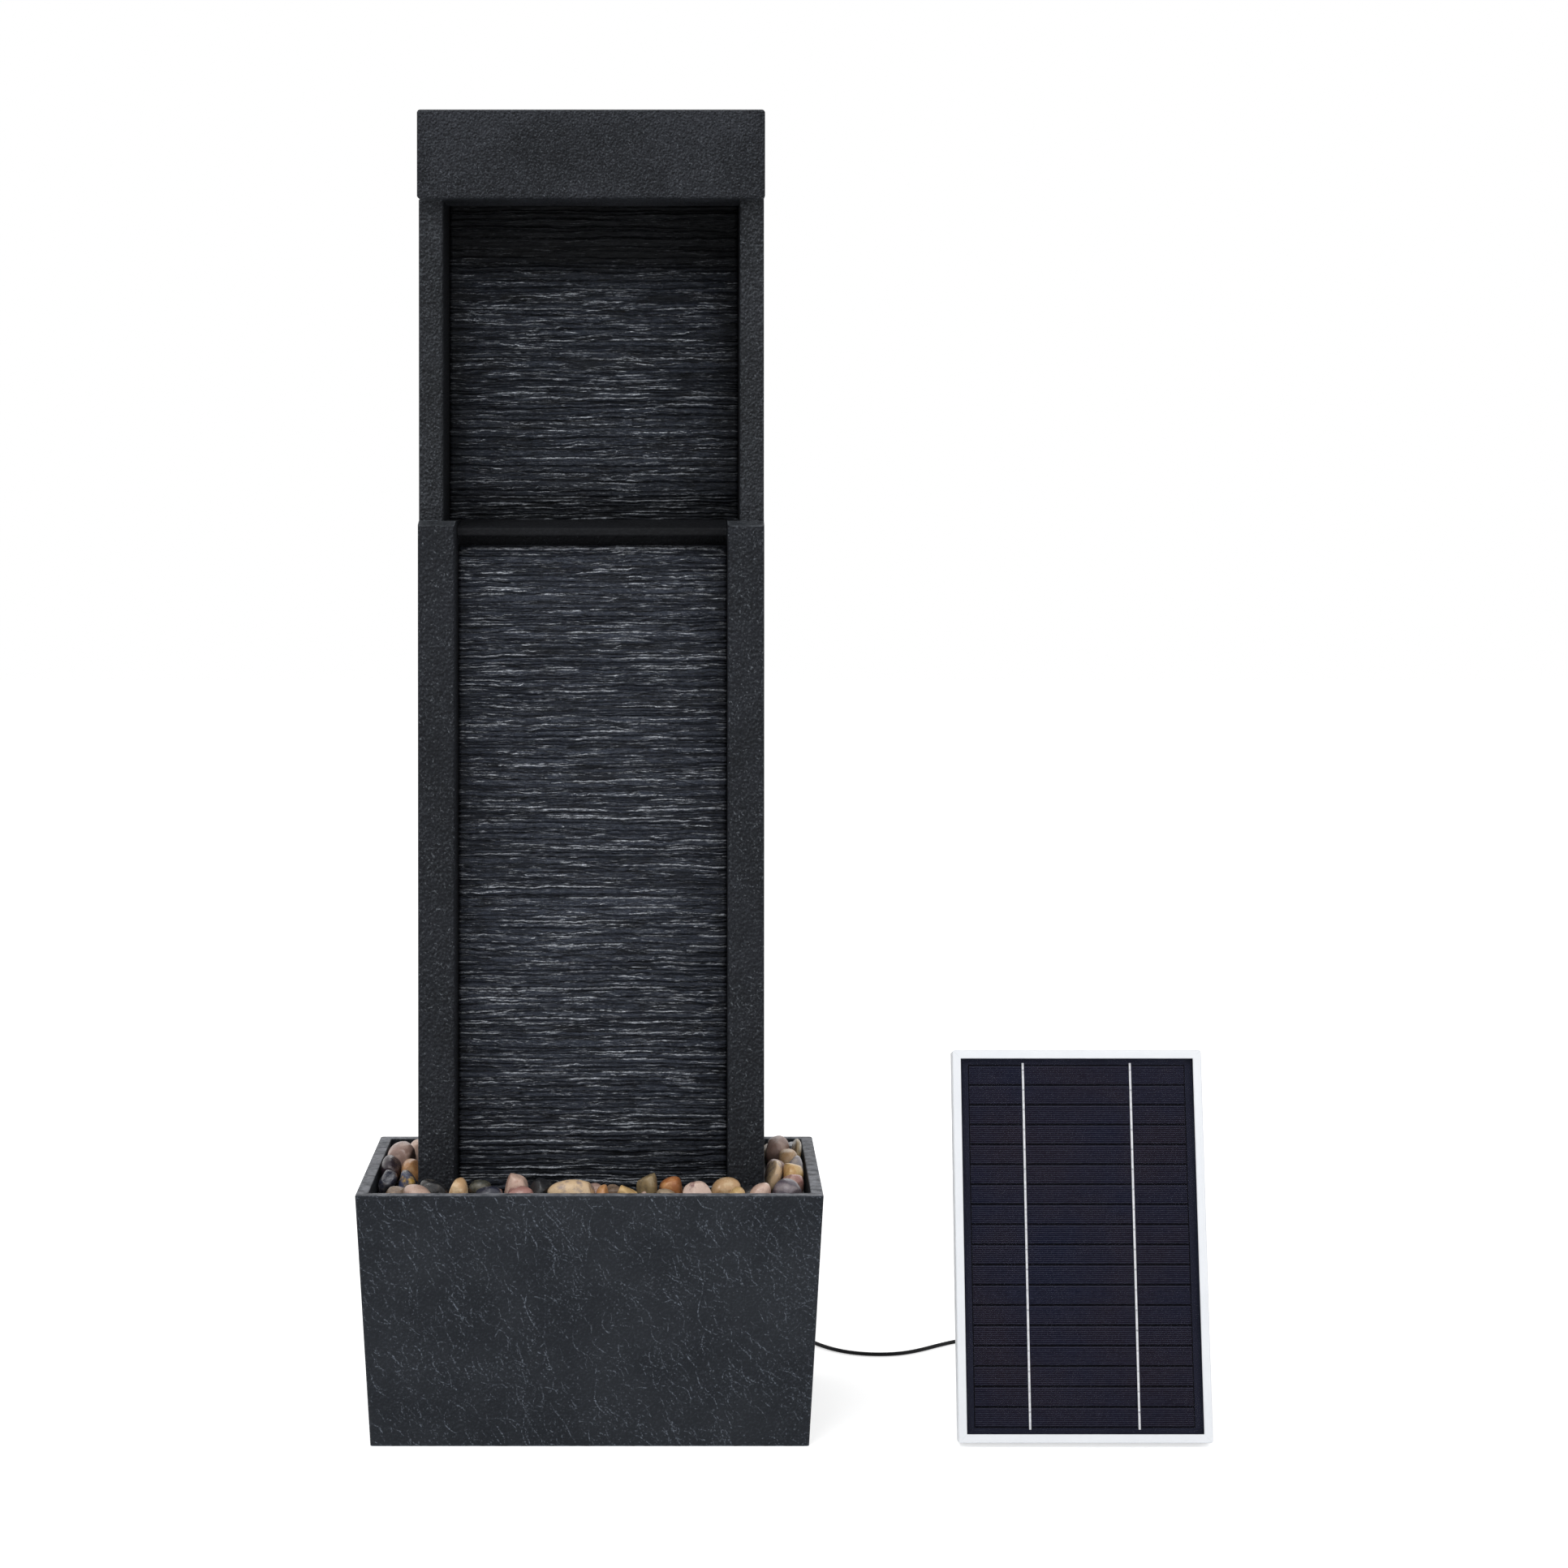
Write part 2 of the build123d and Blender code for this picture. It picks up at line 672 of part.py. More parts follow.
# Pebbles: egg-shaped stones on the tray, two rows in front and two columns at each side
# Each stone is its colour, its middle in plan, and its width, depth and height
near_y = -90.4
far_y = -69.4
front_stones = [
    ("D", -143.0, near_y, 17.0, 17.0, 11.0),
    ("R", -122.9, near_y, 21.0, 19.0, 18.0),
    ("D", -107.0, near_y, 9.4, 14.0, 12.5),
    ("T", -94.6, near_y, 14.8, 19.0, 23.0),
    ("D", -72.2, near_y, 20.6, 19.4, 17.0),
    ("R", -50.4, near_y, 20.2, 18.6, 17.0),
    ("D", -35.6, near_y, 8.4, 14.0, 12.0),
    ("T", -13.4, near_y, 34.4, 20.0, 22.0),
    ("A", 9.4, near_y, 10.0, 16.0, 18.0),
    ("T", 26.6, near_y, 16.2, 18.6, 18.4),
    ("T", 38.4, near_y - 1.5, 6.2, 9.0, 13.6),
    ("T", 53.0, near_y, 16.8, 18.0, 15.6),
    ("R", 77.2, near_y, 21.8, 19.2, 20.4),
    ("T", 93.6, near_y, 9.6, 15.0, 12.6),
    ("A", 105.4, near_y, 12.2, 17.0, 16.6),
    ("R", 121.2, near_y, 16.6, 18.0, 19.6),
    ("D", 140.8, near_y + 1.0, 21.4, 20.4, 22.0),
    ("A", -139.6, far_y, 18.6, 17.6, 12.4),
    ("D", -113.0, far_y, 20.8, 19.0, 18.0),
    ("A", -95.4, far_y, 12.6, 16.0, 13.0),
    ("D", -79.6, far_y, 17.6, 18.6, 18.2),
    ("R", -66.8, far_y, 7.0, 13.0, 11.0),
    ("T", -53.8, far_y, 17.6, 19.0, 22.0),
    ("D", -35.8, far_y, 16.8, 18.4, 18.4),
    ("T", -18.0, far_y, 17.4, 18.0, 14.6),
    ("R", 0.6, far_y, 18.2, 18.0, 15.0),
    ("A", 16.4, far_y, 12.0, 17.0, 13.4),
    ("D", 27.6, far_y, 9.4, 15.0, 12.0),
    ("T", 40.6, far_y, 15.4, 18.6, 22.2),
    ("A", 58.0, far_y, 17.6, 18.8, 20.2),
    ("D", 76.6, far_y, 18.6, 18.0, 14.6),
    ("T", 97.4, far_y, 21.6, 19.4, 19.0),
    ("D", 117.0, far_y, 16.6, 17.0, 13.0),
]
left_stones = [
    ("D", -149.3, -34.0, 14.2, 30.0, 17.6),
    ("D", -134.0, -37.0, 14.6, 31.0, 17.4),
    ("D", -149.4, -1.0, 14.6, 32.0, 22.0),
    ("A", -133.9, -4.0, 14.8, 32.0, 20.2),
    ("R", -144.4, 31.6, 21.6, 30.0, 26.0),
    ("T", -134.0, 60.2, 14.4, 28.0, 22.0),
    ("D", -149.4, 61.4, 14.2, 28.0, 16.0),
    ("A", -142.4, 86.4, 26.0, 19.0, 14.0),
]
right_stones = [
    ("R", 146.0, -50.8, 16.6, 26.0, 18.6),
    ("T", 132.9, -27.0, 12.8, 34.0, 24.0),
    ("T", 147.4, -23.4, 15.2, 26.0, 21.2),
    ("D", 149.8, 1.6, 12.8, 22.0, 22.0),
    ("R", 134.6, 5.0, 15.0, 29.0, 17.6),
    ("A", 146.4, 26.4, 16.6, 26.0, 21.4),
    ("R", 138.0, 52.8, 18.4, 27.0, 26.0),
    ("A", 151.9, 53.0, 9.0, 26.0, 24.0),
    ("T", 134.2, 82.6, 14.6, 28.0, 14.6),
    ("D", 149.2, 83.0, 14.2, 29.0, 15.6),
]
for colour_letter, colour_name in zip("TRDA", ("tan", "rose", "dark", "amber")):
    with BuildPart() as stones:
        for letter, stone_x, stone_y, *stone_size in front_stones + left_stones + right_stones:
            if letter == colour_letter:
                ball = Sphere(0.5, mode=Mode.PRIVATE)
                stone = scale(ball, by=tuple(stone_size), mode=Mode.PRIVATE)
                stone_z = tray_top + stone_size[2] / 2 + 0.1
                add(Location((stone_x, stone_y, stone_z)) * stone)
    write(stones.part, f"pebbles_{colour_name}")

# Pump lead: from the pump, out under the rear cover and up to the grommet
pump_lead_z = pump_bottom + 14
grommet_out = grommet_plane.z_dir
grommet_inner = grommet_plane.offset(-basin_wall_square - 2.0).origin
lead_corner = grommet_inner - grommet_out * 10.2
with BuildPart() as pump_lead:
    with BuildLine() as pump_lead_path:
        FilletPolyline(
            (pump_right, hose_y, pump_lead_z),
            (grommet_x, hose_y, pump_lead_z),
            (grommet_x, lead_corner.Y, pump_lead_z),
            lead_corner,
            grommet_inner,
            radius=[14.0, 12.0, 9.0],
        )
    with BuildSketch(Plane(origin=pump_lead_path.line @ 0, z_dir=pump_lead_path.line % 0)):
        Circle(cord_radius)
    sweep()
write(pump_lead.part, "pump_lead")


def cord_radii(points):
    """Arc radii at a cord's corners: as wide as the shorter run allows."""
    radii = []
    for before, corner, after in zip(points, points[1:], points[2:]):
        run_in = corner - before
        run_out = after - corner
        turn = math.radians(run_in.get_angle(run_out))
        radii.append(0.45 * min(run_in.length, run_out.length) / math.tan(turn / 2))
    return radii


def cord_report(name, part, path, radii):
    """Print a cord's length, its tightest bend and how true its volume is."""
    length = path.length
    section = math.pi * cord_radius**2
    print(
        f"{name}: length {length:.1f}, least radius {min(radii):.1f},"
        f" volume over section {part.volume / (section * length):.4f}"
    )


def coil_point(turns):
    """Where the coil's centreline is after a number of turns."""
    layer = min(int(turns / coil_turns_per_layer), coil_layers - 1)
    into_layer = turns - layer * coil_turns_per_layer
    inward = into_layer if layer % 2 == 0 else coil_turns_per_layer - into_layer
    radius = coil_inner + coil_pitch * (coil_turns_per_layer - inward)
    height = coil_lift + cord_radius
    for change in range(1, coil_layers):
        step = (turns - change * coil_turns_per_layer) / 0.5 + 0.5
        step = max(0.0, min(1.0, step))
        height += coil_pitch * step * step * (3 - 2 * step)
    angle = 2 * math.pi * turns - math.pi / 2
    return Vector(
        coil_x + radius * math.cos(angle), coil_y + radius * math.sin(angle), height
    )


def coil_heading(turns):
    """Direction of the coil's centreline after a number of turns."""
    small = 0.002
    return (coil_point(turns + small) - coil_point(turns - small)).normalized()


# Coil of spare lead: one tube wound in and out in layers, on pairs of arcs
coil_end = coil_turns_per_layer * coil_layers + 0.25
coil_knots = [0.0] + [0.25 + 0.5 * half for half in range(2 * int(coil_end) + 1)]
straight_end = 2 * cord_radius
coil_start_face = coil_point(0) - coil_heading(0) * straight_end
coil_end_face = coil_point(coil_end) + coil_heading(coil_end) * straight_end
with BuildPart() as coil:
    with BuildLine() as coil_path:
        Line(coil_start_face, coil_point(0))
        for first, second in zip(coil_knots, coil_knots[1:]):
            start, start_way = coil_point(first), coil_heading(first)
            end, end_way = coil_point(second), coil_heading(second)
            chord = end - start
            spread = 2 * (1 - start_way.dot(end_way))
            drift = chord.dot(start_way + end_way)
            reach = (math.sqrt(drift**2 + spread * chord.dot(chord)) - drift) / spread
            knot = (start + end + (start_way - end_way) * reach) * 0.5
            knot_way = (end - end_way * reach) - (start + start_way * reach)
            TangentArc(start, knot, tangent=start_way)
            TangentArc(knot, end, tangent=knot_way.normalized())
        Line(coil_point(coil_end), coil_end_face)
    with BuildSketch(Plane(origin=coil_start_face, z_dir=coil_heading(0))):
        Circle(cord_radius)
    sweep()
write(coil.part, "lead_coil")
coil_wire = coil_path.wire()
cord_report("lead_coil", coil.part, coil_wire, [coil_inner])
coil_steps = int(coil_wire.length / 2)
coil_samples = [tuple(coil_wire @ (step / coil_steps)) for step in range(coil_steps + 1)]
least_gap = min(
    math.dist(one, other)
    for place, one in enumerate(coil_samples)
    for other in coil_samples[place + 12 :]
)
print(f"lead_coil: least gap to itself {least_gap - 2 * cord_radius:.2f}")

# Tie round the coil's bundle, at the back where no layer climbs
bundle_in = coil_inner - cord_radius - 0.4
bundle_out = coil_inner + coil_pitch * coil_turns_per_layer + cord_radius + 0.9
bundle_top = coil_lift + 2 * cord_radius + coil_pitch * (coil_layers - 1) + 0.3
with BuildPart() as tie:
    with BuildSketch(Plane.YZ.offset(coil_x)):
        with Locations((coil_y + (bundle_in + bundle_out) / 2, (bundle_top + tie_thickness) / 2)):
            RectangleRounded(
                bundle_out - bundle_in + 2 * tie_thickness, bundle_top + tie_thickness, 1.6
            )
            RectangleRounded(
                bundle_out - bundle_in, bundle_top - tie_thickness, 0.9, mode=Mode.SUBTRACT
            )
    extrude(amount=tie_width / 2, both=True)
write(tie.part, "coil_tie")

# Lead from the grommet down to the coil
grommet_face = grommet_plane.offset(2.5).origin
run_a_points = [
    grommet_face,
    grommet_face + grommet_out * 9,
    Vector(69.8, 131.5, 123.0),
    Vector(69.4, 137.5, 108.0),
    Vector(69.8, 139.6, 84.0),
    Vector(69.4, 140.2, 57.0),
    Vector(70.4, 140.6, 34.0),
    Vector(74.6, 141.6, 16.5),
    Vector(84.0, 143.0, 6.0),
    coil_start_face - coil_heading(0) * 10,
    coil_start_face,
]
run_a_radii = cord_radii(run_a_points)
with BuildPart() as run_a:
    with BuildLine() as run_a_path:
        FilletPolyline(*run_a_points, radius=run_a_radii)
    with BuildSketch(Plane(origin=run_a_points[0], z_dir=grommet_out)):
        Circle(cord_radius)
    sweep()
write(run_a.part, "lead_run_basin")
cord_report("lead_run_basin", run_a.part, run_a_path.wire(), run_a_radii)

# Solar panel's own directions: X across, Y up the panel, Z out of its front
lean = math.radians(panel_lean)
panel = Plane(
    origin=(panel_x, panel_foot_y, 0),
    x_dir=(1, 0, 0),
    z_dir=(0, -math.cos(lean), math.sin(lean)),
)


def on_panel(across, up, out):
    """World point of a place given in the panel's own directions."""
    return panel.origin + panel.x_dir * across + panel.y_dir * up + panel.z_dir * out


# Frame rails: one section, mitred at both ends, corners rounded in plan
rail_section = [
    (0.0, 0.0),
    (frame_foot_flange, 0.0),
    (frame_foot_flange, frame_foot_thickness),
    (frame_wall, frame_foot_thickness),
    (frame_wall, frame_shelf_bottom),
    (frame_flange, frame_shelf_bottom),
    (frame_flange, frame_shelf_top),
    (frame_wall, frame_shelf_top),
    (frame_wall, panel_depth - frame_lip),
    (frame_flange, panel_depth - frame_lip),
    (frame_flange, panel_depth - 0.3),
    (frame_flange - 0.3, panel_depth),
    (0.5, panel_depth),
    (0.0, panel_depth - 0.5),
]
rivet_places = [
    (side * (panel_width / 2 - 4.2), leg_pivot_up + end * 4.5) for side in (-1, 1) for end in (-1, 1)
]
rail_planes = {
    "bottom": (on_panel(0, 0, 0), panel.x_dir, panel_width),
    "top": (on_panel(0, panel_length, 0), panel.x_dir * -1, panel_width),
    "left": (on_panel(-panel_width / 2, panel_length / 2, 0), panel.y_dir * -1, panel_length),
    "right": (on_panel(panel_width / 2, panel_length / 2, 0), panel.y_dir, panel_length),
}
for rail_name, (rail_origin, rail_way, rail_length) in rail_planes.items():
    rail_plane = Plane(origin=rail_origin, x_dir=rail_way, z_dir=panel.z_dir)
    section_plane = Plane(origin=rail_origin, x_dir=rail_plane.y_dir, z_dir=rail_way)
    half = rail_length / 2
    with BuildPart() as rail:
        with BuildSketch(section_plane):
            Polygon(*rail_section)
        extrude(amount=half, both=True)
        with BuildSketch(rail_plane.offset(-1)):
            Polygon((-half, 0), (half, 0), (half - 20, 20), (-half + 20, 20))
        extrude(amount=panel_depth + 2, mode=Mode.INTERSECT)
        with BuildSketch(panel.offset(-1)):
            with Locations((0, panel_length / 2)):
                RectangleRounded(panel_width, panel_length, 2.0)
        extrude(amount=panel_depth + 2, mode=Mode.INTERSECT)
        if rail_name in ("left", "right"):
            with BuildSketch(panel.offset(-1)):
                with Locations(*rivet_places):
                    Circle(rivet_radius)
            extrude(amount=3, mode=Mode.SUBTRACT)
    write(rail.part, f"frame_rail_{rail_name}")

# Corner keys inside the frame's channel
with BuildPart() as keys:
    for side in (-1, 1):
        for low, way in ((0.0, 1), (panel_length, -1)):
            near_x = side * (panel_width / 2 - frame_wall - 0.1)
            near_y = low + way * (frame_wall + 0.1)
            with BuildSketch(panel.offset(frame_foot_thickness + 0.3)):
                Polygon(
                    (near_x, near_y),
                    (near_x - side * 22, near_y),
                    (near_x - side * 22, near_y + way * 3),
                    (near_x - side * 3, near_y + way * 3),
                    (near_x - side * 3, near_y + way * 22),
                    (near_x, near_y + way * 22),
                )
            extrude(amount=frame_shelf_bottom - frame_foot_thickness - 0.6)
write(keys.part, "corner_keys")

# Laminate: backing sheet, cell strips, ribbons and glass, from the back out
sheet_width = panel_width - 2 * (frame_wall + glass_edge_gap)
sheet_length = panel_length - 2 * (frame_wall + glass_edge_gap)
cell_level = frame_shelf_top + sheet_thickness
ribbon_level = cell_level + cell_thickness
glass_level = panel_depth - frame_lip - glass_thickness
with BuildPart() as sheet:
    with BuildSketch(panel.offset(frame_shelf_top)):
        with Locations((0, panel_length / 2)):
            Rectangle(sheet_width, sheet_length)
    extrude(amount=sheet_thickness)
write(sheet.part, "backing_sheet")

with BuildPart() as cells:
    for strip in range(cell_strip_count):
        strip_up = panel_length / 2 + cell_pitch * (strip - (cell_strip_count - 1) / 2)
        with BuildSketch(panel.offset(cell_level)):
            with Locations((0, strip_up)):
                Rectangle(cell_field_width, cell_strip_height)
        extrude(amount=cell_thickness)
write(cells.part, "cell_strips")

ribbon_length = cell_pitch * cell_strip_count + 3.0
with BuildPart() as ribbons:
    for side in (-1, 1):
        with BuildSketch(panel.offset(ribbon_level)):
            with Locations((side * cell_field_width / 4, panel_length / 2)):
                Rectangle(ribbon_width, ribbon_length)
        extrude(amount=ribbon_thickness)
write(ribbons.part, "cell_ribbons")

with BuildPart() as glass:
    with BuildSketch(panel.offset(glass_level)):
        with Locations((0, panel_length / 2)):
            Rectangle(sheet_width, sheet_length)
    extrude(amount=glass_thickness)
write(glass.part, "panel_glass")

# Battery box on the back of the sheet: a tub open to the rear
box_mid = (box_low + box_high) / 2
box_height = box_high - box_low
lid_inner = box_rear - gasket_thickness
boss_x = box_width / 2 - box_wall - 2.9
boss_up = box_height / 2 - box_wall - 2.9
lid_screw_places = [
    (side * boss_x, box_mid + end * boss_up) for side in (-1, 1) for end in (-1, 1)
]
button_place = (-20.0, box_high - 13.0)
lens_place = (20.0, box_high - 13.0)
with BuildPart() as box:
    with BuildSketch(panel.offset(frame_shelf_top)):
        with Locations((0, box_mid)):
            RectangleRounded(box_width, box_height, box_corner)
    extrude(amount=-(frame_shelf_top - box_rear))
    with BuildSketch(panel.offset(frame_shelf_top - box_wall)):
        with Locations((0, box_mid)):
            RectangleRounded(
                box_width - 2 * box_wall, box_height - 2 * box_wall, box_corner - box_wall
            )
    extrude(amount=-(frame_shelf_top - box_rear), mode=Mode.SUBTRACT)
    with BuildSketch(panel.offset(frame_shelf_top - box_wall)):
        with Locations(*lid_screw_places):
            Circle(3.4)
    extrude(amount=-(frame_shelf_top - box_wall - lid_inner))
    with BuildSketch(panel.offset(lid_inner)):
        with Locations(*lid_screw_places):
            Circle(1.25)
    extrude(amount=10, mode=Mode.SUBTRACT)
write(box.part, "battery_box")

with BuildPart() as gasket:
    with BuildSketch(panel.offset(box_rear)):
        with Locations((0, box_mid)):
            RectangleRounded(box_width - 0.4, box_height - 0.4, box_corner - 0.2)
            RectangleRounded(
                box_width - 2 * box_wall,
                box_height - 2 * box_wall,
                box_corner - box_wall,
                mode=Mode.SUBTRACT,
            )
        with Locations(*lid_screw_places):
            Circle(3.5, mode=Mode.SUBTRACT)
    extrude(amount=-gasket_thickness)
write(gasket.part, "lid_gasket")

with BuildPart() as lid:
    with BuildSketch(panel.offset(lid_inner)):
        with Locations((0, box_mid)):
            RectangleRounded(box_width, box_height, box_corner)
    extrude(amount=-lid_thickness)
    fillet(lid.faces().sort_by(Axis(panel.origin, panel.z_dir))[0].edges(), 0.8)
    with BuildSketch(panel.offset(lid_inner)):
        with Locations(*lid_screw_places):
            Circle(1.5)
        with Locations(button_place):
            Circle(button_radius + 0.15)
        with Locations(lens_place):
            Circle(2.5)
    extrude(amount=-lid_thickness - 1, mode=Mode.SUBTRACT)
write(lid.part, "battery_box_lid")

lid_outer = lid_inner - lid_thickness
with BuildPart() as lid_screws:
    with BuildSketch(panel.offset(lid_inner + 8)):
        with Locations(*lid_screw_places):
            Circle(1.25)
    extrude(amount=-(8 + lid_thickness))
    with BuildSketch(panel.offset(lid_outer)):
        with Locations(*lid_screw_places):
            Circle(2.6)
    extrude(amount=-1.4)
    with BuildSketch(panel.offset(lid_outer - 1.4)):
        with Locations(*lid_screw_places):
            Rectangle(3.2, 0.7)
            Rectangle(0.7, 3.2)
    extrude(amount=0.8, mode=Mode.SUBTRACT)
write(lid_screws.part, "lid_screws")

cell_out = (frame_shelf_top - box_wall + box_rear) / 2
with BuildPart() as batteries:
    for row in range(2):
        battery_up = box_low + box_wall + 1.5 + cell_radius + row * (2 * cell_radius + 1.5)
        battery_plane = Plane(
            origin=on_panel(-cell_length / 2, battery_up, cell_out), z_dir=panel.x_dir
        )
        with BuildSketch(battery_plane):
            Circle(cell_radius)
        extrude(amount=cell_length)
        with BuildSketch(battery_plane.offset(cell_length)):
            Circle(3.0)
        extrude(amount=1.6)
write(batteries.part, "battery_cells")

board_level = 3.0
switch_top = lid_inner + 1.3 + button_travel + 0.4
with BuildPart() as board:
    with BuildSketch(panel.offset(board_level)):
        with Locations((0, box_high - 13)):
            Rectangle(64, 17)
    extrude(amount=1.6)
    with BuildSketch(panel.offset(board_level)):
        with Locations(button_place):
            Rectangle(6, 6)
    extrude(amount=-(board_level - switch_top))
    with BuildSketch(panel.offset(board_level + 1.6)):
        with Locations(button_place, lens_place):
            Rectangle(6, 6)
    extrude(amount=frame_shelf_top - box_wall - board_level - 1.6)
write(board.part, "control_board")

with BuildPart() as button:
    with BuildSketch(panel.offset(lid_inner)):
        with Locations(button_place):
            Circle(button_radius)
    extrude(amount=-(lid_thickness + 2.2))
    fillet(button.faces().sort_by(Axis(panel.origin, panel.z_dir))[0].edges(), 0.7)
    with BuildSketch(panel.offset(lid_inner + 0.3)):
        with Locations(button_place):
            Circle(button_radius + 1.5)
    extrude(amount=1.0)
    with BuildSketch(panel.offset(lid_inner - 0.2)):
        with Locations(button_place):
            Circle(button_radius)
    extrude(amount=1.0)
write(button.part, "power_button")

with BuildPart() as lens:
    with BuildSketch(panel.offset(lid_inner + 3)):
        with Locations(lens_place):
            Circle(2.5)
    extrude(amount=-(3 + lid_thickness + 1.2))
    fillet(lens.faces().sort_by(Axis(panel.origin, panel.z_dir))[0].edges(), 1.1)
write(lens.part, "indicator_lens")

# Gland below the box: a collar, then a taper down to the lead
gland_out = -2.0
gland_plane = Plane(
    origin=on_panel(0, box_low, gland_out), x_dir=panel.x_dir, z_dir=panel.y_dir * -1
)
with BuildPart() as gland:
    with BuildSketch(gland_plane):
        RegularPolygon(6.2, 6)
    extrude(amount=4)
    with BuildSketch(gland_plane.offset(4)):
        Circle(5.2)
    extrude(amount=4)
    with BuildSketch(gland_plane.offset(8)):
        Circle(4.2)
    with BuildSketch(gland_plane.offset(gland_length)):
        Circle(2.3)
    loft()
write(gland.part, "lead_gland")

# Lead from the coil along the ground to the panel, up to the gland
gland_face = gland_plane.offset(gland_length).origin
run_b_points = [
    coil_end_face,
    coil_end_face + coil_heading(coil_end) * 11,
    Vector(132.4, 195.0, 9.4),
    Vector(139.0, 205.6, 4.4),
    Vector(150.4, 210.6, 1.5),
    Vector(162.2, 206.6, 1.5),
    Vector(170.0, 195.4, 1.5),
    Vector(177.0, 183.4, 1.5),
    Vector(185.6, 172.0, 1.5),
    Vector(196.2, 162.8, 1.5),
    Vector(209.0, 157.0, 1.5),
    Vector(224.0, 155.4, 1.5),
    Vector(239.6, 159.0, 1.5),
    Vector(254.4, 170.0, 1.5),
    Vector(269.6, 185.4, 1.5),
    Vector(285.0, 198.6, 1.5),
    Vector(300.6, 206.8, 1.5),
    Vector(316.6, 207.6, 1.5),
    Vector(330.6, 200.2, 1.5),
    Vector(340.4, 186.0, 1.5),
    Vector(346.6, 167.6, 1.5),
    Vector(350.4, 145.0, 1.5),
    Vector(352.4, 120.0, 1.5),
    Vector(353.2, 95.0, 1.5),
    Vector(352.8, 71.0, 1.5),
    Vector(352.4, 50.0, 2.6),
    Vector(352.2, 31.0, 7.4),
    Vector(352.3, 12.0, 15.4),
    Vector(352.6, -8.0, 23.6),
    Vector(352.9, -27.6, 32.2),
    Vector(353.0, -45.0, 42.6),
    Vector(353.0, -59.0, 55.6),
    Vector(353.0, -69.4, 68.6),
    gland_face - panel.y_dir * 11,
    gland_face,
]
run_b_radii = cord_radii(run_b_points)
with BuildPart() as run_b:
    with BuildLine() as run_b_path:
        FilletPolyline(*run_b_points, radius=run_b_radii)
    with BuildSketch(Plane(origin=coil_end_face, z_dir=coil_heading(coil_end))):
        Circle(cord_radius)
    sweep()
write(run_b.part, "lead_run_panel")
cord_report("lead_run_panel", run_b.part, run_b_path.wire(), run_b_radii)
print("run_b radii", [round(radius, 1) for radius in run_b_radii])
print("run_a radii", [round(radius, 1) for radius in run_a_radii])
lead_length = coil_wire.length + run_a_path.wire().length + run_b_path.wire().length
print(f"whole lead {lead_length:.0f}")

# Prop leg: a strip bent to a U, hung from two lugs on the frame
pivot = on_panel(0, leg_pivot_up, -leg_pivot_behind)
tilt = math.radians(leg_lean)
leg_plane = Plane(origin=pivot, x_dir=(1, 0, 0), z_dir=(0, math.cos(tilt), math.sin(tilt)))
leg_reach = (pivot.Z - leg_width / 2 * math.sin(tilt)) / math.cos(tilt) - 0.05
leg_bottom = leg_reach - pad_thickness
leg_outer = leg_arm_x + leg_strip / 2
leg_inner = leg_arm_x - leg_strip / 2
arm_top = leg_width / 2
pivot_plane = Plane(origin=pivot, x_dir=panel.y_dir, z_dir=(1, 0, 0))
with BuildPart() as leg:
    with BuildSketch(leg_plane) as leg_outline:
        with Locations((0, (leg_bottom - arm_top) / 2)):
            Rectangle(2 * leg_outer, leg_bottom + arm_top)
        fillet(leg_outline.vertices().group_by(Axis.Y)[-1], leg_corner)
        with Locations((0, (leg_bottom - leg_strip - arm_top - 2) / 2)):
            Rectangle(2 * leg_inner, leg_bottom - leg_strip + arm_top + 2, mode=Mode.SUBTRACT)
        inside_corners = [
            corner
            for corner in leg_outline.vertices()
            if abs(corner.Y - leg_bottom + leg_strip) < 0.01
        ]
        fillet(inside_corners, leg_corner - leg_strip)
    extrude(amount=leg_width / 2, both=True)
    arm_ends = leg.edges().filter_by(Axis.X).sort_by(Axis(pivot, leg_plane.y_dir))
    fillet(arm_ends[:4], leg_width / 2 - 0.2)
    with BuildSketch(pivot_plane):
        Circle(bolt_radius + running_gap)
    extrude(amount=leg_outer + 5, both=True, mode=Mode.SUBTRACT)
write(leg.part, "prop_leg")

with BuildPart() as pads:
    with BuildSketch(leg_plane):
        for side in (-1, 1):
            with Locations((side * 48, leg_bottom + pad_thickness / 2)):
                Rectangle(26, pad_thickness)
    extrude(amount=leg_width / 2, both=True)
write(pads.part, "leg_foot_pads")

# Lugs riveted to the frame's rear flange, with the leg's arms between them
lug_face = leg_outer + 0.3
lug_plane = Plane(
    origin=on_panel(0, leg_pivot_up + 8, 0), x_dir=panel.x_dir, z_dir=panel.y_dir * -1
)
with BuildPart() as lugs:
    for side in (-1, 1):
        with BuildSketch(lug_plane):
            Polygon(
                (side * lug_face, 0),
                (side * lug_face, -12.5),
                (side * (lug_face + 2), -12.5),
                (side * (lug_face + 2), -1.5),
                (side * (panel_width / 2 - 0.5), -1.5),
                (side * (panel_width / 2 - 0.5), 0),
            )
        extrude(amount=16)
    lug_ends = lugs.edges().filter_by(Axis.X).sort_by(Axis(panel.origin, panel.z_dir))
    fillet(lug_ends[:4], 5.0)
    with BuildSketch(pivot_plane):
        Circle(bolt_radius + 0.1)
    extrude(amount=panel_width / 2, both=True, mode=Mode.SUBTRACT)
    with BuildSketch(panel.offset(1)):
        with Locations(*rivet_places):
            Circle(rivet_radius)
    extrude(amount=-4, mode=Mode.SUBTRACT)
write(lugs.part, "hinge_lugs")

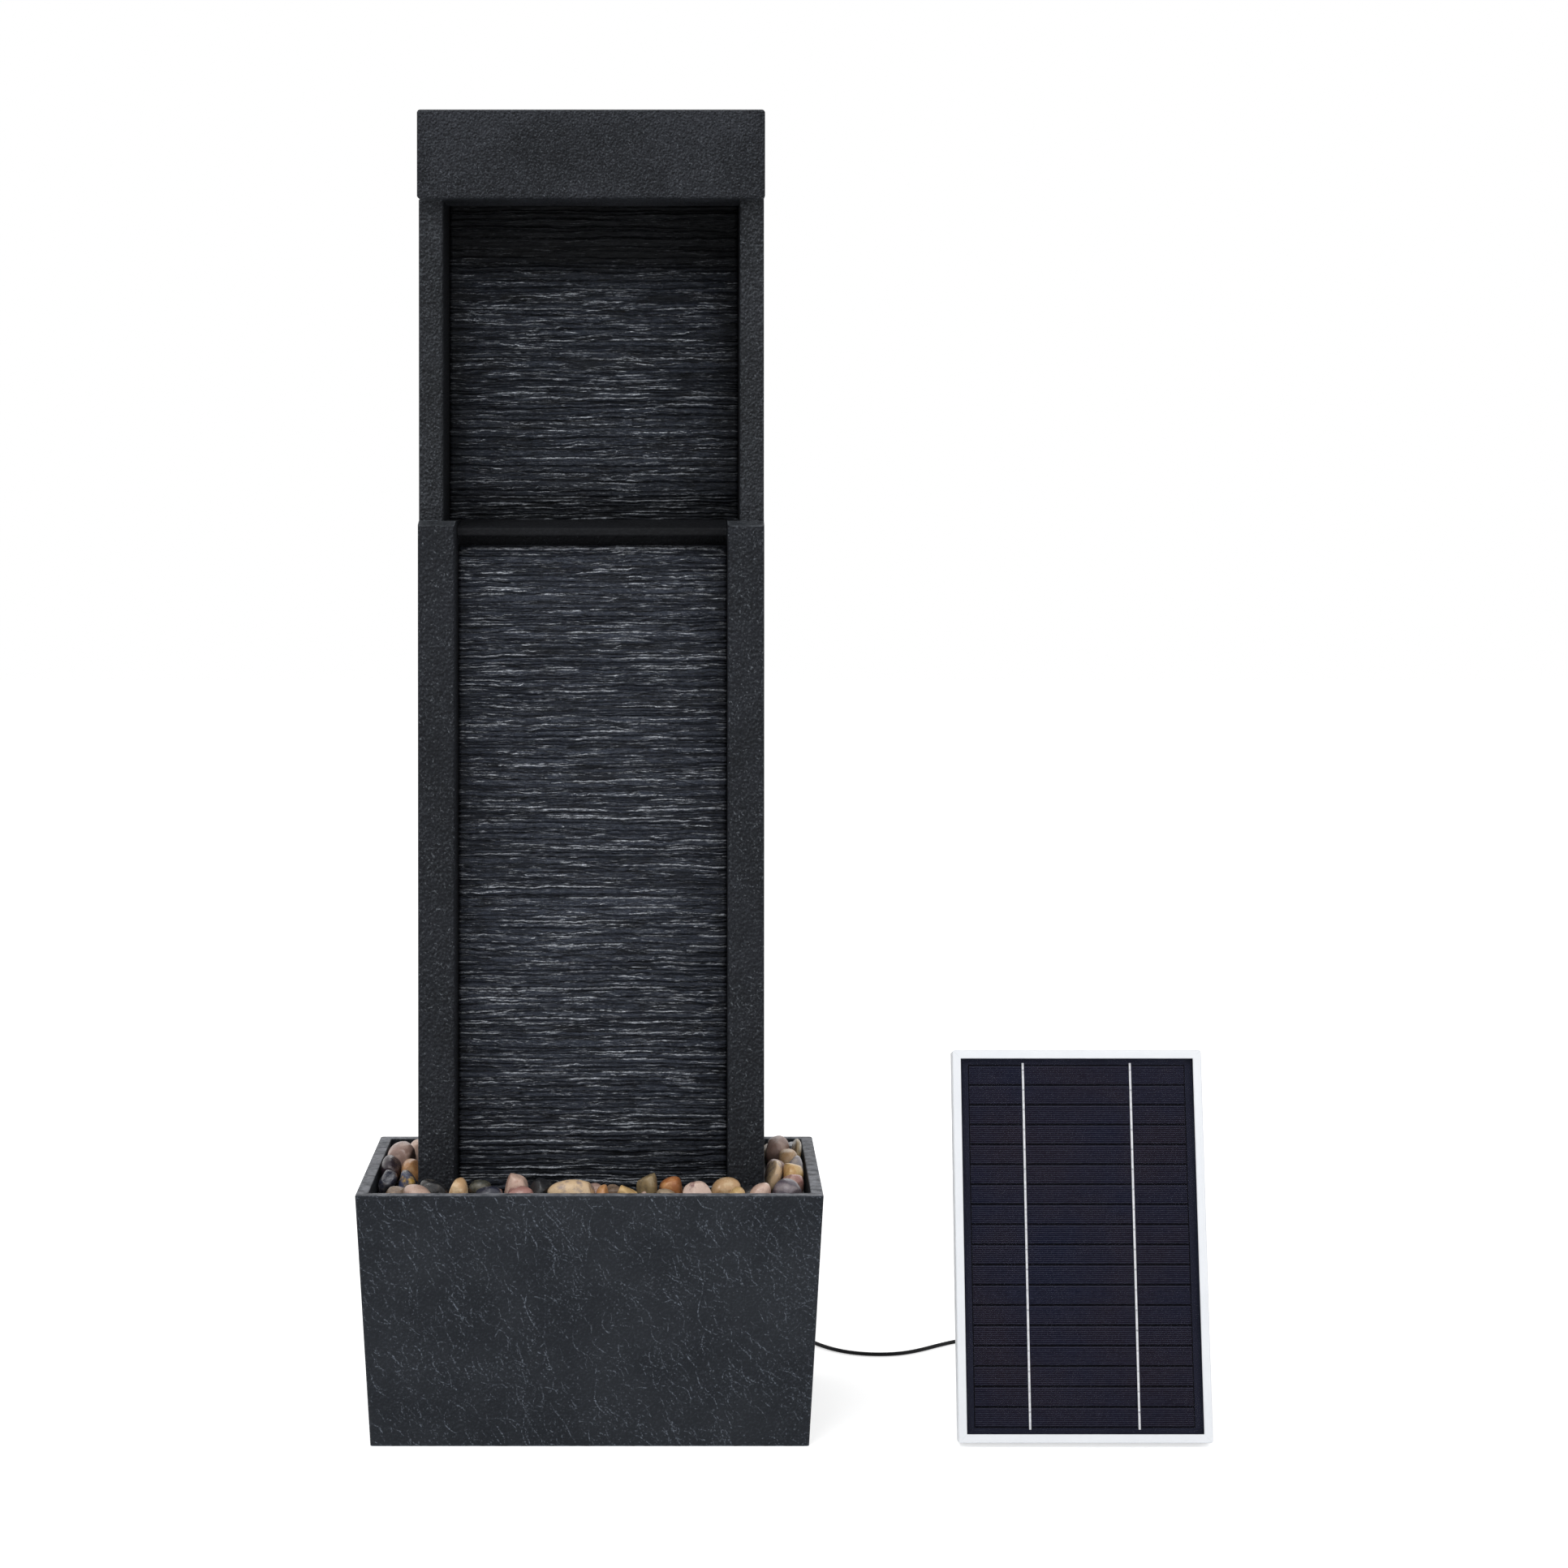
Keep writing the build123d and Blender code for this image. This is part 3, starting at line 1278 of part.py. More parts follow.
with BuildPart() as rivets:
    with BuildSketch(panel.offset(frame_foot_thickness)):
        with Locations(*rivet_places):
            Circle(rivet_radius)
    extrude(amount=-(frame_foot_thickness + 1.5))
    with BuildSketch(panel.offset(-1.5)):
        with Locations(*rivet_places):
            Circle(2.2)
    extrude(amount=-1.1)
    with BuildSketch(panel.offset(frame_foot_thickness)):
        with Locations(*rivet_places):
            Circle(2.2)
    extrude(amount=0.8)
write(rivets.part, "lug_rivets")

nut_outer = leg_inner - 0.3
with BuildPart() as bolts:
    for side in (-1, 1):
        with BuildSketch(pivot_plane.offset(side * (lug_face + 2))):
            Circle(bolt_radius)
        extrude(amount=-side * (lug_face + 2 - nut_outer + 8))
        with BuildSketch(pivot_plane.offset(side * (lug_face + 2))):
            RegularPolygon(4.0, 6)
        extrude(amount=side * 2.8)
write(bolts.part, "pivot_bolts")

with BuildPart() as nuts:
    for side in (-1, 1):
        with BuildSketch(pivot_plane.offset(side * nut_outer)):
            Circle(7.0)
            with PolarLocations(7.4, 12):
                Circle(1.0, mode=Mode.SUBTRACT)
            Circle(bolt_radius, mode=Mode.SUBTRACT)
        extrude(amount=-side * 6.4)
write(nuts.part, "thumb_nuts")
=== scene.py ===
"""Looks of a solar garden fountain: a slate-effect tower in a basin of pebbles, with its panel and lead."""

import logging
import math
from dataclasses import dataclass, field, replace
from enum import Enum

import bmesh
import bpy
import numpy as np
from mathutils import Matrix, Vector


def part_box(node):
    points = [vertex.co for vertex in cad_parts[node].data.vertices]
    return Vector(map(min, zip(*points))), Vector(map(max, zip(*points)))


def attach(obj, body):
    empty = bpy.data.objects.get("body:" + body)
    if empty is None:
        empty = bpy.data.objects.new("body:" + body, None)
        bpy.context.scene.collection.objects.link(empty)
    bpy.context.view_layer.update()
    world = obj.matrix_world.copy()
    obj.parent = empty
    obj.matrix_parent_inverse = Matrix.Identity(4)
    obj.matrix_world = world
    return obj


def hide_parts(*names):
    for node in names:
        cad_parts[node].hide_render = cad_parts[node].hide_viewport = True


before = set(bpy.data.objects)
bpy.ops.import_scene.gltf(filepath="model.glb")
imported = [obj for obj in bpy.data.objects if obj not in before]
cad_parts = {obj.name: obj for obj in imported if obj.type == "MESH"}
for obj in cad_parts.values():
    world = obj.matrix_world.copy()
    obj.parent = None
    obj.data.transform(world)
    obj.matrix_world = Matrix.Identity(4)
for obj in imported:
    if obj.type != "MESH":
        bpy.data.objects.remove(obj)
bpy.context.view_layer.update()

log = logging.getLogger("fountain")

MM = 0.001
PICTURE_SIDE = 1932

Colour = tuple[float, float, float, float]
Place = tuple[float, float, float]
Span = tuple[float, float]
Socket = bpy.types.NodeSocket
Feed = Socket | float | tuple[float, ...]


def shade(red: float, green: float, blue: float) -> Colour:
    """Linear colour of an sRGB colour.

    Args:
        red: Red from 0 to 255.
        green: Green from 0 to 255.
        blue: Blue from 0 to 255.

    Returns:
        The linear colour with full alpha.
    """
    linear = []
    for channel in (red, green, blue):
        share = channel / 255.0
        linear.append(share / 12.92 if share <= 0.04045 else ((share + 0.055) / 1.055) ** 2.4)
    return (linear[0], linear[1], linear[2], 1.0)


class Wiring:
    """Adds and joins the nodes of one shader tree in short calls."""

    def __init__(self, tree: bpy.types.NodeTree) -> None:
        """Keeps the tree that the nodes go into."""
        self.tree = tree

    def node(self, kind: str, **settings: object) -> bpy.types.Node:
        """Adds a node.

        Args:
            kind: The node's type name.
            **settings: Properties to set on it.

        Returns:
            The new node.
        """
        made = self.tree.nodes.new(kind)
        for name, value in settings.items():
            setattr(made, name, value)
        return made

    def feed(self, socket: Socket, value: Feed) -> None:
        """Joins a socket to another, or sets its plain value.

        Args:
            socket: The input socket.
            value: An output socket, a number or a tuple.
        """
        if isinstance(value, bpy.types.NodeSocket):
            self.tree.links.new(value, socket)
        else:
            socket.default_value = value

    def math(self, operation: str, first: Feed, second: Feed = 0.0, third: Feed = 0.0) -> Socket:
        """Adds a Math node.

        Args:
            operation: The operation's name.
            first: First value.
            second: Second value.
            third: Third value.

        Returns:
            The result's socket.
        """
        made = self.node("ShaderNodeMath", operation=operation)
        for socket, value in zip(made.inputs, (first, second, third)):
            self.feed(socket, value)
        return made.outputs[0]

    def vector(self, operation: str, first: Feed, second: Feed = (0.0, 0.0, 0.0)) -> Socket:
        """Adds a Vector Math node.

        Args:
            operation: The operation's name.
            first: First vector.
            second: Second vector.

        Returns:
            The vector result, or the value for a dot product.
        """
        made = self.node("ShaderNodeVectorMath", operation=operation)
        self.feed(made.inputs[0], first)
        self.feed(made.inputs[1], second)
        return made.outputs["Value" if operation == "DOT_PRODUCT" else "Vector"]

    def scaled(self, vector: Feed, factor: Feed) -> Socket:
        """A vector times a number.

        Args:
            vector: The vector.
            factor: The number.

        Returns:
            The scaled vector's socket.
        """
        made = self.node("ShaderNodeVectorMath", operation="SCALE")
        self.feed(made.inputs[0], vector)
        self.feed(made.inputs["Scale"], factor)
        return made.outputs["Vector"]

    def mix(self, factor: Feed, first: Feed, second: Feed) -> Socket:
        """Adds a colour mix.

        Args:
            factor: Share of the second colour.
            first: First colour.
            second: Second colour.

        Returns:
            The mixed colour's socket.
        """
        made = self.node("ShaderNodeMix", data_type="RGBA")
        self.feed(made.inputs[0], factor)
        self.feed(made.inputs[6], first)
        self.feed(made.inputs[7], second)
        return made.outputs[2]

    def tint(
        self,
        colour: Feed,
        paint: Colour,
        value: Socket,
        low: float,
        high: float,
        show: float,
    ) -> Socket:
        """Lays paint over a colour as a value of the surface goes from low to high.

        Args:
            colour: The colour so far.
            paint: The paint.
            value: The value that it follows.
            low: Value with no paint.
            high: Value with the most paint.
            show: Share of the paint at high.

        Returns:
            The painted colour's socket.
        """
        return self.mix(self.ramp(value, low, high, 0.0, show), colour, paint)

    def cover(self, colour: Feed, paint: Colour, mask: Socket, show: Feed) -> Socket:
        """Lays paint over a colour where a mask is set.

        Args:
            colour: The colour so far.
            paint: The paint.
            mask: The mask.
            show: Share of the paint where the mask is 1.

        Returns:
            The painted colour's socket.
        """
        return self.mix(self.math("MULTIPLY", mask, show), colour, paint)

    def between(self, factor: Feed, first: Feed, second: Feed) -> Socket:
        """Mixes two numbers.

        Args:
            factor: Share of the second number.
            first: First number.
            second: Second number.

        Returns:
            The mixed number's socket.
        """
        made = self.node("ShaderNodeMix", data_type="FLOAT")
        self.feed(made.inputs[0], factor)
        self.feed(made.inputs[2], first)
        self.feed(made.inputs[3], second)
        return made.outputs[0]

    def ramp(self, value: Feed, low: Feed, high: Feed, first: Feed = 0.0, last: Feed = 1.0) -> Socket:
        """Spreads a range of values smoothly over another, clamped at its ends.

        Args:
            value: The value.
            low: Value that gives first.
            high: Value that gives last.
            first: Result at low.
            last: Result at high.

        Returns:
            The result's socket.
        """
        made = self.node("ShaderNodeMapRange", interpolation_type="SMOOTHSTEP")
        for socket, given in zip(made.inputs, (value, low, high, first, last)):
            self.feed(socket, given)
        return made.outputs[0]

    def noise(self, vector: Feed, scale: Feed, detail: float = 2.0, rough: float = 0.5) -> Socket:
        """Adds a noise texture.

        Args:
            vector: Where it is read.
            scale: Its scale.
            detail: Its octaves.
            rough: How strong the finer octaves are.

        Returns:
            The noise value's socket.
        """
        made = self.node("ShaderNodeTexNoise")
        self.feed(made.inputs["Vector"], vector)
        self.feed(made.inputs["Scale"], scale)
        self.feed(made.inputs["Detail"], detail)
        self.feed(made.inputs["Roughness"], rough)
        return made.outputs[0]

    def place(self, group: bpy.types.NodeTree, **values: Feed) -> Socket:
        """Places a node group.

        Args:
            group: The group's tree.
            **values: Its inputs by name.

        Returns:
            The value that the group puts out.
        """
        made = self.node("ShaderNodeGroup")
        made.node_tree = group
        for name, value in values.items():
            self.feed(made.inputs[name], value)
        return made.outputs[0]

    def attribute(self, name: str, output: str = "Fac") -> Socket:
        """Reads a number or colour that is stored on the mesh.

        Args:
            name: The attribute's name.
            output: Fac for a number, Color for a colour.

        Returns:
            Its socket.
        """
        return self.node("ShaderNodeAttribute", attribute_name=name).outputs[output]

    def roughen(
        self,
        shader: bpy.types.Node,
        value: Socket,
        low: float,
        high: float,
        first: float,
        last: float,
    ) -> None:
        """Lets a shader's roughness follow a value of the surface.

        Args:
            shader: The shader.
            value: The value that it follows.
            low: Value that gives first.
            high: Value that gives last.
            first: Roughness at low.
            last: Roughness at high.
        """
        self.feed(shader.inputs["Roughness"], self.ramp(value, low, high, first, last))

    def bump(self, height: Feed, depth: float) -> Socket:
        """Adds a bump.

        Args:
            height: Height from 0 to 1.
            depth: Depth in metres of a height of 1.

        Returns:
            The bumped normal's socket.
        """
        made = self.node("ShaderNodeBump")
        made.inputs["Strength"].default_value = 1.0
        made.inputs["Distance"].default_value = depth
        self.feed(made.inputs["Height"], height)
        return made.outputs["Normal"]


class Effects:
    """Shader node groups that the finishes share, each built once.

    A face looks one way when its normal goes that way by more than facing_share. The two shifts, in
    metres, keep the back and the right side of a part from repeating its front and left side.
    """

    made: dict[str, bpy.types.NodeTree] = {}
    facing_share = 0.6
    back_shift = 0.731
    right_shift = 0.417

    @classmethod
    def start(
        cls,
        name: str,
        inputs: dict[str, float],
        output: str,
    ) -> tuple[Wiring, dict[str, Socket], Socket]:
        """Starts a group with number inputs and one number output.

        Args:
            name: The group's name.
            inputs: Its inputs and their first values.
            output: The output's name.

        Returns:
            The wiring, the inputs' sockets by name, and the output's socket.
        """
        tree = bpy.data.node_groups.new(name, "ShaderNodeTree")
        for label, value in inputs.items():
            socket = tree.interface.new_socket(label, in_out="INPUT", socket_type="NodeSocketFloat")
            socket.default_value = value
        tree.interface.new_socket(output, in_out="OUTPUT", socket_type="NodeSocketFloat")
        wiring = Wiring(tree)
        entry = wiring.node("NodeGroupInput")
        leave = wiring.node("NodeGroupOutput")
        cls.made[name] = tree
        return wiring, {label: entry.outputs[label] for label in inputs}, leave.inputs[output]

    @classmethod
    def grain(cls) -> bpy.types.NodeTree:
        """Soft random grain of a given size in millimetres, from 0 to 1."""
        if "grain" not in cls.made:
            wiring, inputs, leave = cls.start("grain", {"Size": 1.0, "Spread": 0.2}, "Value")
            place = wiring.node("ShaderNodeTexCoord").outputs["Object"]
            scale = wiring.math("DIVIDE", 1.0 / MM, inputs["Size"])
            value = wiring.noise(place, scale, 3.0, 0.55)
            low = wiring.math("SUBTRACT", 0.5, inputs["Spread"])
            high = wiring.math("ADD", 0.5, inputs["Spread"])
            wiring.feed(leave, wiring.ramp(value, low, high))
        return cls.made["grain"]

    @classmethod
    def flat_place(cls, wiring: Wiring, shift: Socket) -> Socket:
        """Places over a part's flat faces, moved on so that its sides don't repeat each other.

        Args:
            wiring: The group's wiring.
            shift: A further move across, in metres.

        Returns:
            The places across and up, in millimetres.
        """
        coordinates = wiring.node("ShaderNodeTexCoord")
        place = wiring.node("ShaderNodeSeparateXYZ")
        wiring.feed(place.inputs[0], coordinates.outputs["Object"])
        facing = wiring.node("ShaderNodeSeparateXYZ")
        wiring.feed(facing.inputs[0], coordinates.outputs["Normal"])
        sideways, backward, upward = facing.outputs
        side = wiring.math("GREATER_THAN", wiring.math("ABSOLUTE", sideways), cls.facing_share)
        level = wiring.math("GREATER_THAN", wiring.math("ABSOLUTE", upward), cls.facing_share)
        back = wiring.math("GREATER_THAN", backward, cls.facing_share)
        right = wiring.math("GREATER_THAN", sideways, cls.facing_share)
        across = wiring.between(side, place.outputs[0], place.outputs[1])
        height = wiring.between(level, place.outputs[2], place.outputs[1])
        moved = wiring.math("MULTIPLY_ADD", back, cls.back_shift, across)
        moved = wiring.math("MULTIPLY_ADD", right, cls.right_shift, moved)
        moved = wiring.math("ADD", moved, shift)
        flat = wiring.node("ShaderNodeCombineXYZ")
        wiring.feed(flat.inputs[0], wiring.math("MULTIPLY", moved, 1.0 / MM))
        wiring.feed(flat.inputs[1], wiring.math("MULTIPLY", height, 1.0 / MM))
        return flat.outputs[0]

    @classmethod
    def strokes(cls) -> bpy.types.NodeTree:
        """Short curved strokes laid over flat faces, one in each random cell, beaded and in drifts."""
        if "strokes" in cls.made:
            return cls.made["strokes"]
        sizes = {"Cell": 6.0, "Length": 6.0, "Width": 0.7}
        ways = {"Lean": 0.0, "Fan": 0.6, "Share": 0.7, "Shift": 0.0}
        wiring, inputs, leave = cls.start("strokes", sizes | ways, "Mask")
        in_mm = cls.flat_place(wiring, inputs["Shift"])
        in_cells = wiring.scaled(in_mm, wiring.math("DIVIDE", 1.0, inputs["Cell"]))
        cells = wiring.node("ShaderNodeTexVoronoi", voronoi_dimensions="2D", feature="F1")
        wiring.feed(cells.inputs["Vector"], in_cells)
        wiring.feed(cells.inputs["Scale"], 1.0)
        from_middle = wiring.vector("SUBTRACT", in_cells, cells.outputs["Position"])
        offset = wiring.scaled(from_middle, inputs["Cell"])
        local = wiring.node("ShaderNodeSeparateXYZ")
        wiring.feed(local.inputs[0], offset)
        chance = wiring.node("ShaderNodeSeparateColor")
        wiring.feed(chance.inputs[0], cells.outputs["Color"])
        turn = wiring.math("MULTIPLY", wiring.math("SUBTRACT", chance.outputs[0], 0.5), inputs["Fan"])
        drift = wiring.math("SUBTRACT", wiring.noise(in_mm, 0.015, 1.0), 0.5)
        flow = wiring.math("MULTIPLY", drift, 2.4)
        angle = wiring.math("ADD", wiring.math("MULTIPLY_ADD", turn, 2.0, inputs["Lean"]), flow)
        cosine = wiring.math("COSINE", angle)
        sine = wiring.math("SINE", angle)
        level_run = wiring.math("MULTIPLY", local.outputs[0], cosine)
        along = wiring.math("MULTIPLY_ADD", local.outputs[1], sine, level_run)
        rise = wiring.math("MULTIPLY", local.outputs[1], cosine)
        beside = wiring.math("SUBTRACT", rise, wiring.math("MULTIPLY", local.outputs[0], sine))
        curl = wiring.math("MULTIPLY", wiring.math("SUBTRACT", chance.outputs[1], 0.5), 0.12)
        beside = wiring.math("MULTIPLY_ADD", wiring.math("MULTIPLY", along, along), curl, beside)
        waver = wiring.math("SUBTRACT", wiring.noise(in_mm, 0.33, 2.0), 0.5)
        beside = wiring.math("ABSOLUTE", wiring.math("MULTIPLY_ADD", waver, 2.2, beside))
        drawn_share = wiring.math("MULTIPLY_ADD", chance.outputs[2], 0.42, 0.16)
        reach = wiring.math("MULTIPLY", inputs["Length"], drawn_share)
        gone = wiring.math("POWER", wiring.math("DIVIDE", wiring.math("ABSOLUTE", along), reach), 2.0)
        taper = wiring.math("MAXIMUM", wiring.math("SUBTRACT", 1.0, gone), 0.0)
        half = wiring.math("MULTIPLY", wiring.math("MULTIPLY", inputs["Width"], 0.5), taper)
        soft = wiring.math("MULTIPLY_ADD", inputs["Width"], 0.6, half)
        inside = wiring.ramp(beside, soft, half)
        mixed = wiring.math("MULTIPLY_ADD", chance.outputs[0], 13.7, chance.outputs[1])
        lot = wiring.math("FRACT", mixed)
        crowd = wiring.ramp(wiring.noise(in_mm, 0.03, 3.0), 0.4, 0.6, 0.15, 1.35)
        shown = wiring.math("LESS_THAN", lot, wiring.math("MULTIPLY", inputs["Share"], crowd))
        boldness = wiring.ramp(chance.outputs[2], -0.6, 1.0)
        strength = wiring.math("MULTIPLY", wiring.math("SQRT", taper), boldness)
        beads = wiring.ramp(wiring.noise(in_mm, 0.6, 2.0, 0.6), 0.44, 0.62, 0.04, 1.0)
        mask = wiring.math("MULTIPLY", wiring.math("MULTIPLY", inside, strength), shown)
        wiring.feed(leave, wiring.math("MULTIPLY", mask, beads))
        return cls.made["strokes"]

    @classmethod
    def lit_and_shaded_lumps(cls) -> bpy.types.NodeTree:
        """Painted highlight on the upper sides of small lumps, above 0.5, and painted shade on their
        undersides, below it.
        """
        if "lit_and_shaded_lumps" not in cls.made:
            wiring, inputs, leave = cls.start("lit_and_shaded_lumps", {"Size": 2.0, "Gain": 2.0}, "Value")
            place = wiring.node("ShaderNodeTexCoord").outputs["Object"]
            in_lumps = wiring.scaled(place, wiring.math("DIVIDE", 1.0 / MM, inputs["Size"]))
            here = wiring.noise(in_lumps, 1.0, 3.0, 0.55)
            above = wiring.noise(wiring.vector("ADD", in_lumps, (-0.22, -0.22, 0.4)), 1.0, 3.0, 0.55)
            slope = wiring.math("SUBTRACT", here, above)
            wiring.feed(leave, wiring.math("MULTIPLY_ADD", slope, inputs["Gain"], 0.5))
        return cls.made["lit_and_shaded_lumps"]

    @classmethod
    def edge_wear_and_highlight(cls) -> bpy.types.NodeTree:
        """Mask of a part's edges, broken up by noise."""
        if "edge_wear_and_highlight" not in cls.made:
            wiring, inputs, leave = cls.start("edge_wear_and_highlight", {"Width": 0.0012, "Patch": 6.0}, "Mask")
            bevel = wiring.node("ShaderNodeBevel", samples=4)
            wiring.feed(bevel.inputs["Radius"], inputs["Width"])
            plain = wiring.node("ShaderNodeNewGeometry").outputs["Normal"]
            likeness = wiring.vector("DOT_PRODUCT", bevel.outputs[0], plain)
            edge = wiring.ramp(likeness, 0.995, 0.86)
            place = wiring.node("ShaderNodeTexCoord").outputs["Object"]
            worn = wiring.noise(place, wiring.math("DIVIDE", 1.0 / MM, inputs["Patch"]), 3.0, 0.6)
            wiring.feed(leave, wiring.math("MULTIPLY", edge, wiring.ramp(worn, 0.34, 0.62)))
        return cls.made["edge_wear_and_highlight"]

    @classmethod
    def settled_dust(cls) -> bpy.types.NodeTree:
        """Mask of faces that look up, mottled by noise."""
        if "settled_dust" not in cls.made:
            wiring, inputs, leave = cls.start("settled_dust", {"Patch": 9.0}, "Mask")
            coordinates = wiring.node("ShaderNodeTexCoord")
            upward = wiring.vector("DOT_PRODUCT", coordinates.outputs["Normal"], (0.0, 0.0, 1.0))
            scale = wiring.math("DIVIDE", 1.0 / MM, inputs["Patch"])
            mottle = wiring.noise(coordinates.outputs["Object"], scale, 4.0, 0.65)
            level = wiring.ramp(upward, 0.45, 0.95)
            wiring.feed(leave, wiring.math("MULTIPLY", level, wiring.ramp(mottle, 0.2, 0.75)))
        return cls.made["settled_dust"]

    @classmethod
    def brushing(cls) -> bpy.types.NodeTree:
        """Fine lines along X, wavy as on split slate or straight as on drawn metal."""
        if "brushing" not in cls.made:
            settings = {"Line": 0.3, "Run": 20.0, "Wave": 0.0, "Lift": 0.0}
            wiring, inputs, leave = cls.start("brushing", settings, "Value")
            place = wiring.node("ShaderNodeTexCoord").outputs["Object"]
            sway = wiring.math("SUBTRACT", wiring.noise(place, 42.0, 3.0, 0.6), 0.5)
            raised = wiring.math("MULTIPLY_ADD", sway, inputs["Wave"], inputs["Lift"])
            lifted = wiring.node("ShaderNodeCombineXYZ")
            wiring.feed(lifted.inputs[2], wiring.math("MULTIPLY", raised, MM))
            place = wiring.vector("ADD", place, lifted.outputs[0])
            across = wiring.math("DIVIDE", 1.0 / MM, inputs["Line"])
            along = wiring.math("DIVIDE", 1.0 / MM, inputs["Run"])
            stretch = wiring.node("ShaderNodeCombineXYZ")
            for socket, value in zip(stretch.inputs, (along, across, across)):
                wiring.feed(socket, value)
            drawn = wiring.vector("MULTIPLY", place, stretch.outputs[0])
            wiring.feed(leave, wiring.noise(drawn, 1.0, 3.0, 0.6))
        return cls.made["brushing"]


@dataclass(frozen=True)
class Finish:
    """A finish of the fountain, made as a Blender material the first time it is asked for."""

    name: str

    def material(self) -> bpy.types.Material:
        """The finish's material, built once."""
        label = f"{self.name}_finish"
        found = bpy.data.materials.get(label)
        return found if found is not None else self.build()

    def start(
        self,
        roughness: float,
        shine: float = 0.5,
    ) -> tuple[bpy.types.Material, Wiring, bpy.types.Node]:
        """Starts a material with one shader.

        Args:
            roughness: The shader's roughness.
            shine: Its specular level.

        Returns:
            The material, its wiring and its shader.
        """
        material = bpy.data.materials.new(f"{self.name}_finish")
        material.use_nodes = True
        tree = material.node_tree
        tree.nodes.clear()
        wiring = Wiring(tree)
        shader = wiring.node("ShaderNodeBsdfPrincipled")
        shader.inputs["Roughness"].default_value = roughness
        shader.inputs["Specular IOR Level"].default_value = shine
        leave = wiring.node("ShaderNodeOutputMaterial")
        tree.links.new(shader.outputs[0], leave.inputs["Surface"])
        return material, wiring, shader

    def build(self) -> bpy.types.Material:
        """Builds the material; each kind of finish does this its own way."""
        raise NotImplementedError


@dataclass(frozen=True)
class Streaks:
    """One layer of pale relief strokes: sizes in millimetres, angles in radians, the shift in metres."""

    cell: float
    length: float
    width: float
    lean: float
    fan: float
    share: float
    show: float
    shift: float

    def place(self, wiring: Wiring) -> Socket:
        """Places the strokes in a material and gives their mask."""
        return wiring.place(
            Effects.strokes(),
            Cell=self.cell,
            Length=self.length,
            Width=self.width,
            Lean=self.lean,
            Fan=self.fan,
            Share=self.share,
            Shift=self.shift,
        )


# Colours, shares and places in metres that the finishes below use
WHITE = (1.0, 1.0, 1.0, 1.0)
# Painted shade under the small lumps of the resin's grain
LUMP_SHADE_BLACK = shade(10, 11, 13)
# Painted shade deep between the posts
RECESS_SHADE_BLACK = shade(14, 15, 18)
RECESS_SIDES = (0.1245, 0.1225)
RECESS_BACK = 0.07
RECESS_SHADE_SHOW = 0.8
STONE_SPECK = shade(58, 50, 46)
# Painted sheen on the stones
STONE_SHEEN = shade(235, 222, 205)
PALE_DUST = shade(190, 186, 178)
PANEL_FOOT = (0.353, -0.0927, 0.0)
PANEL_UP = (0.0, 0.22788, 0.97369)
CELL_PITCH = 14.2 * MM


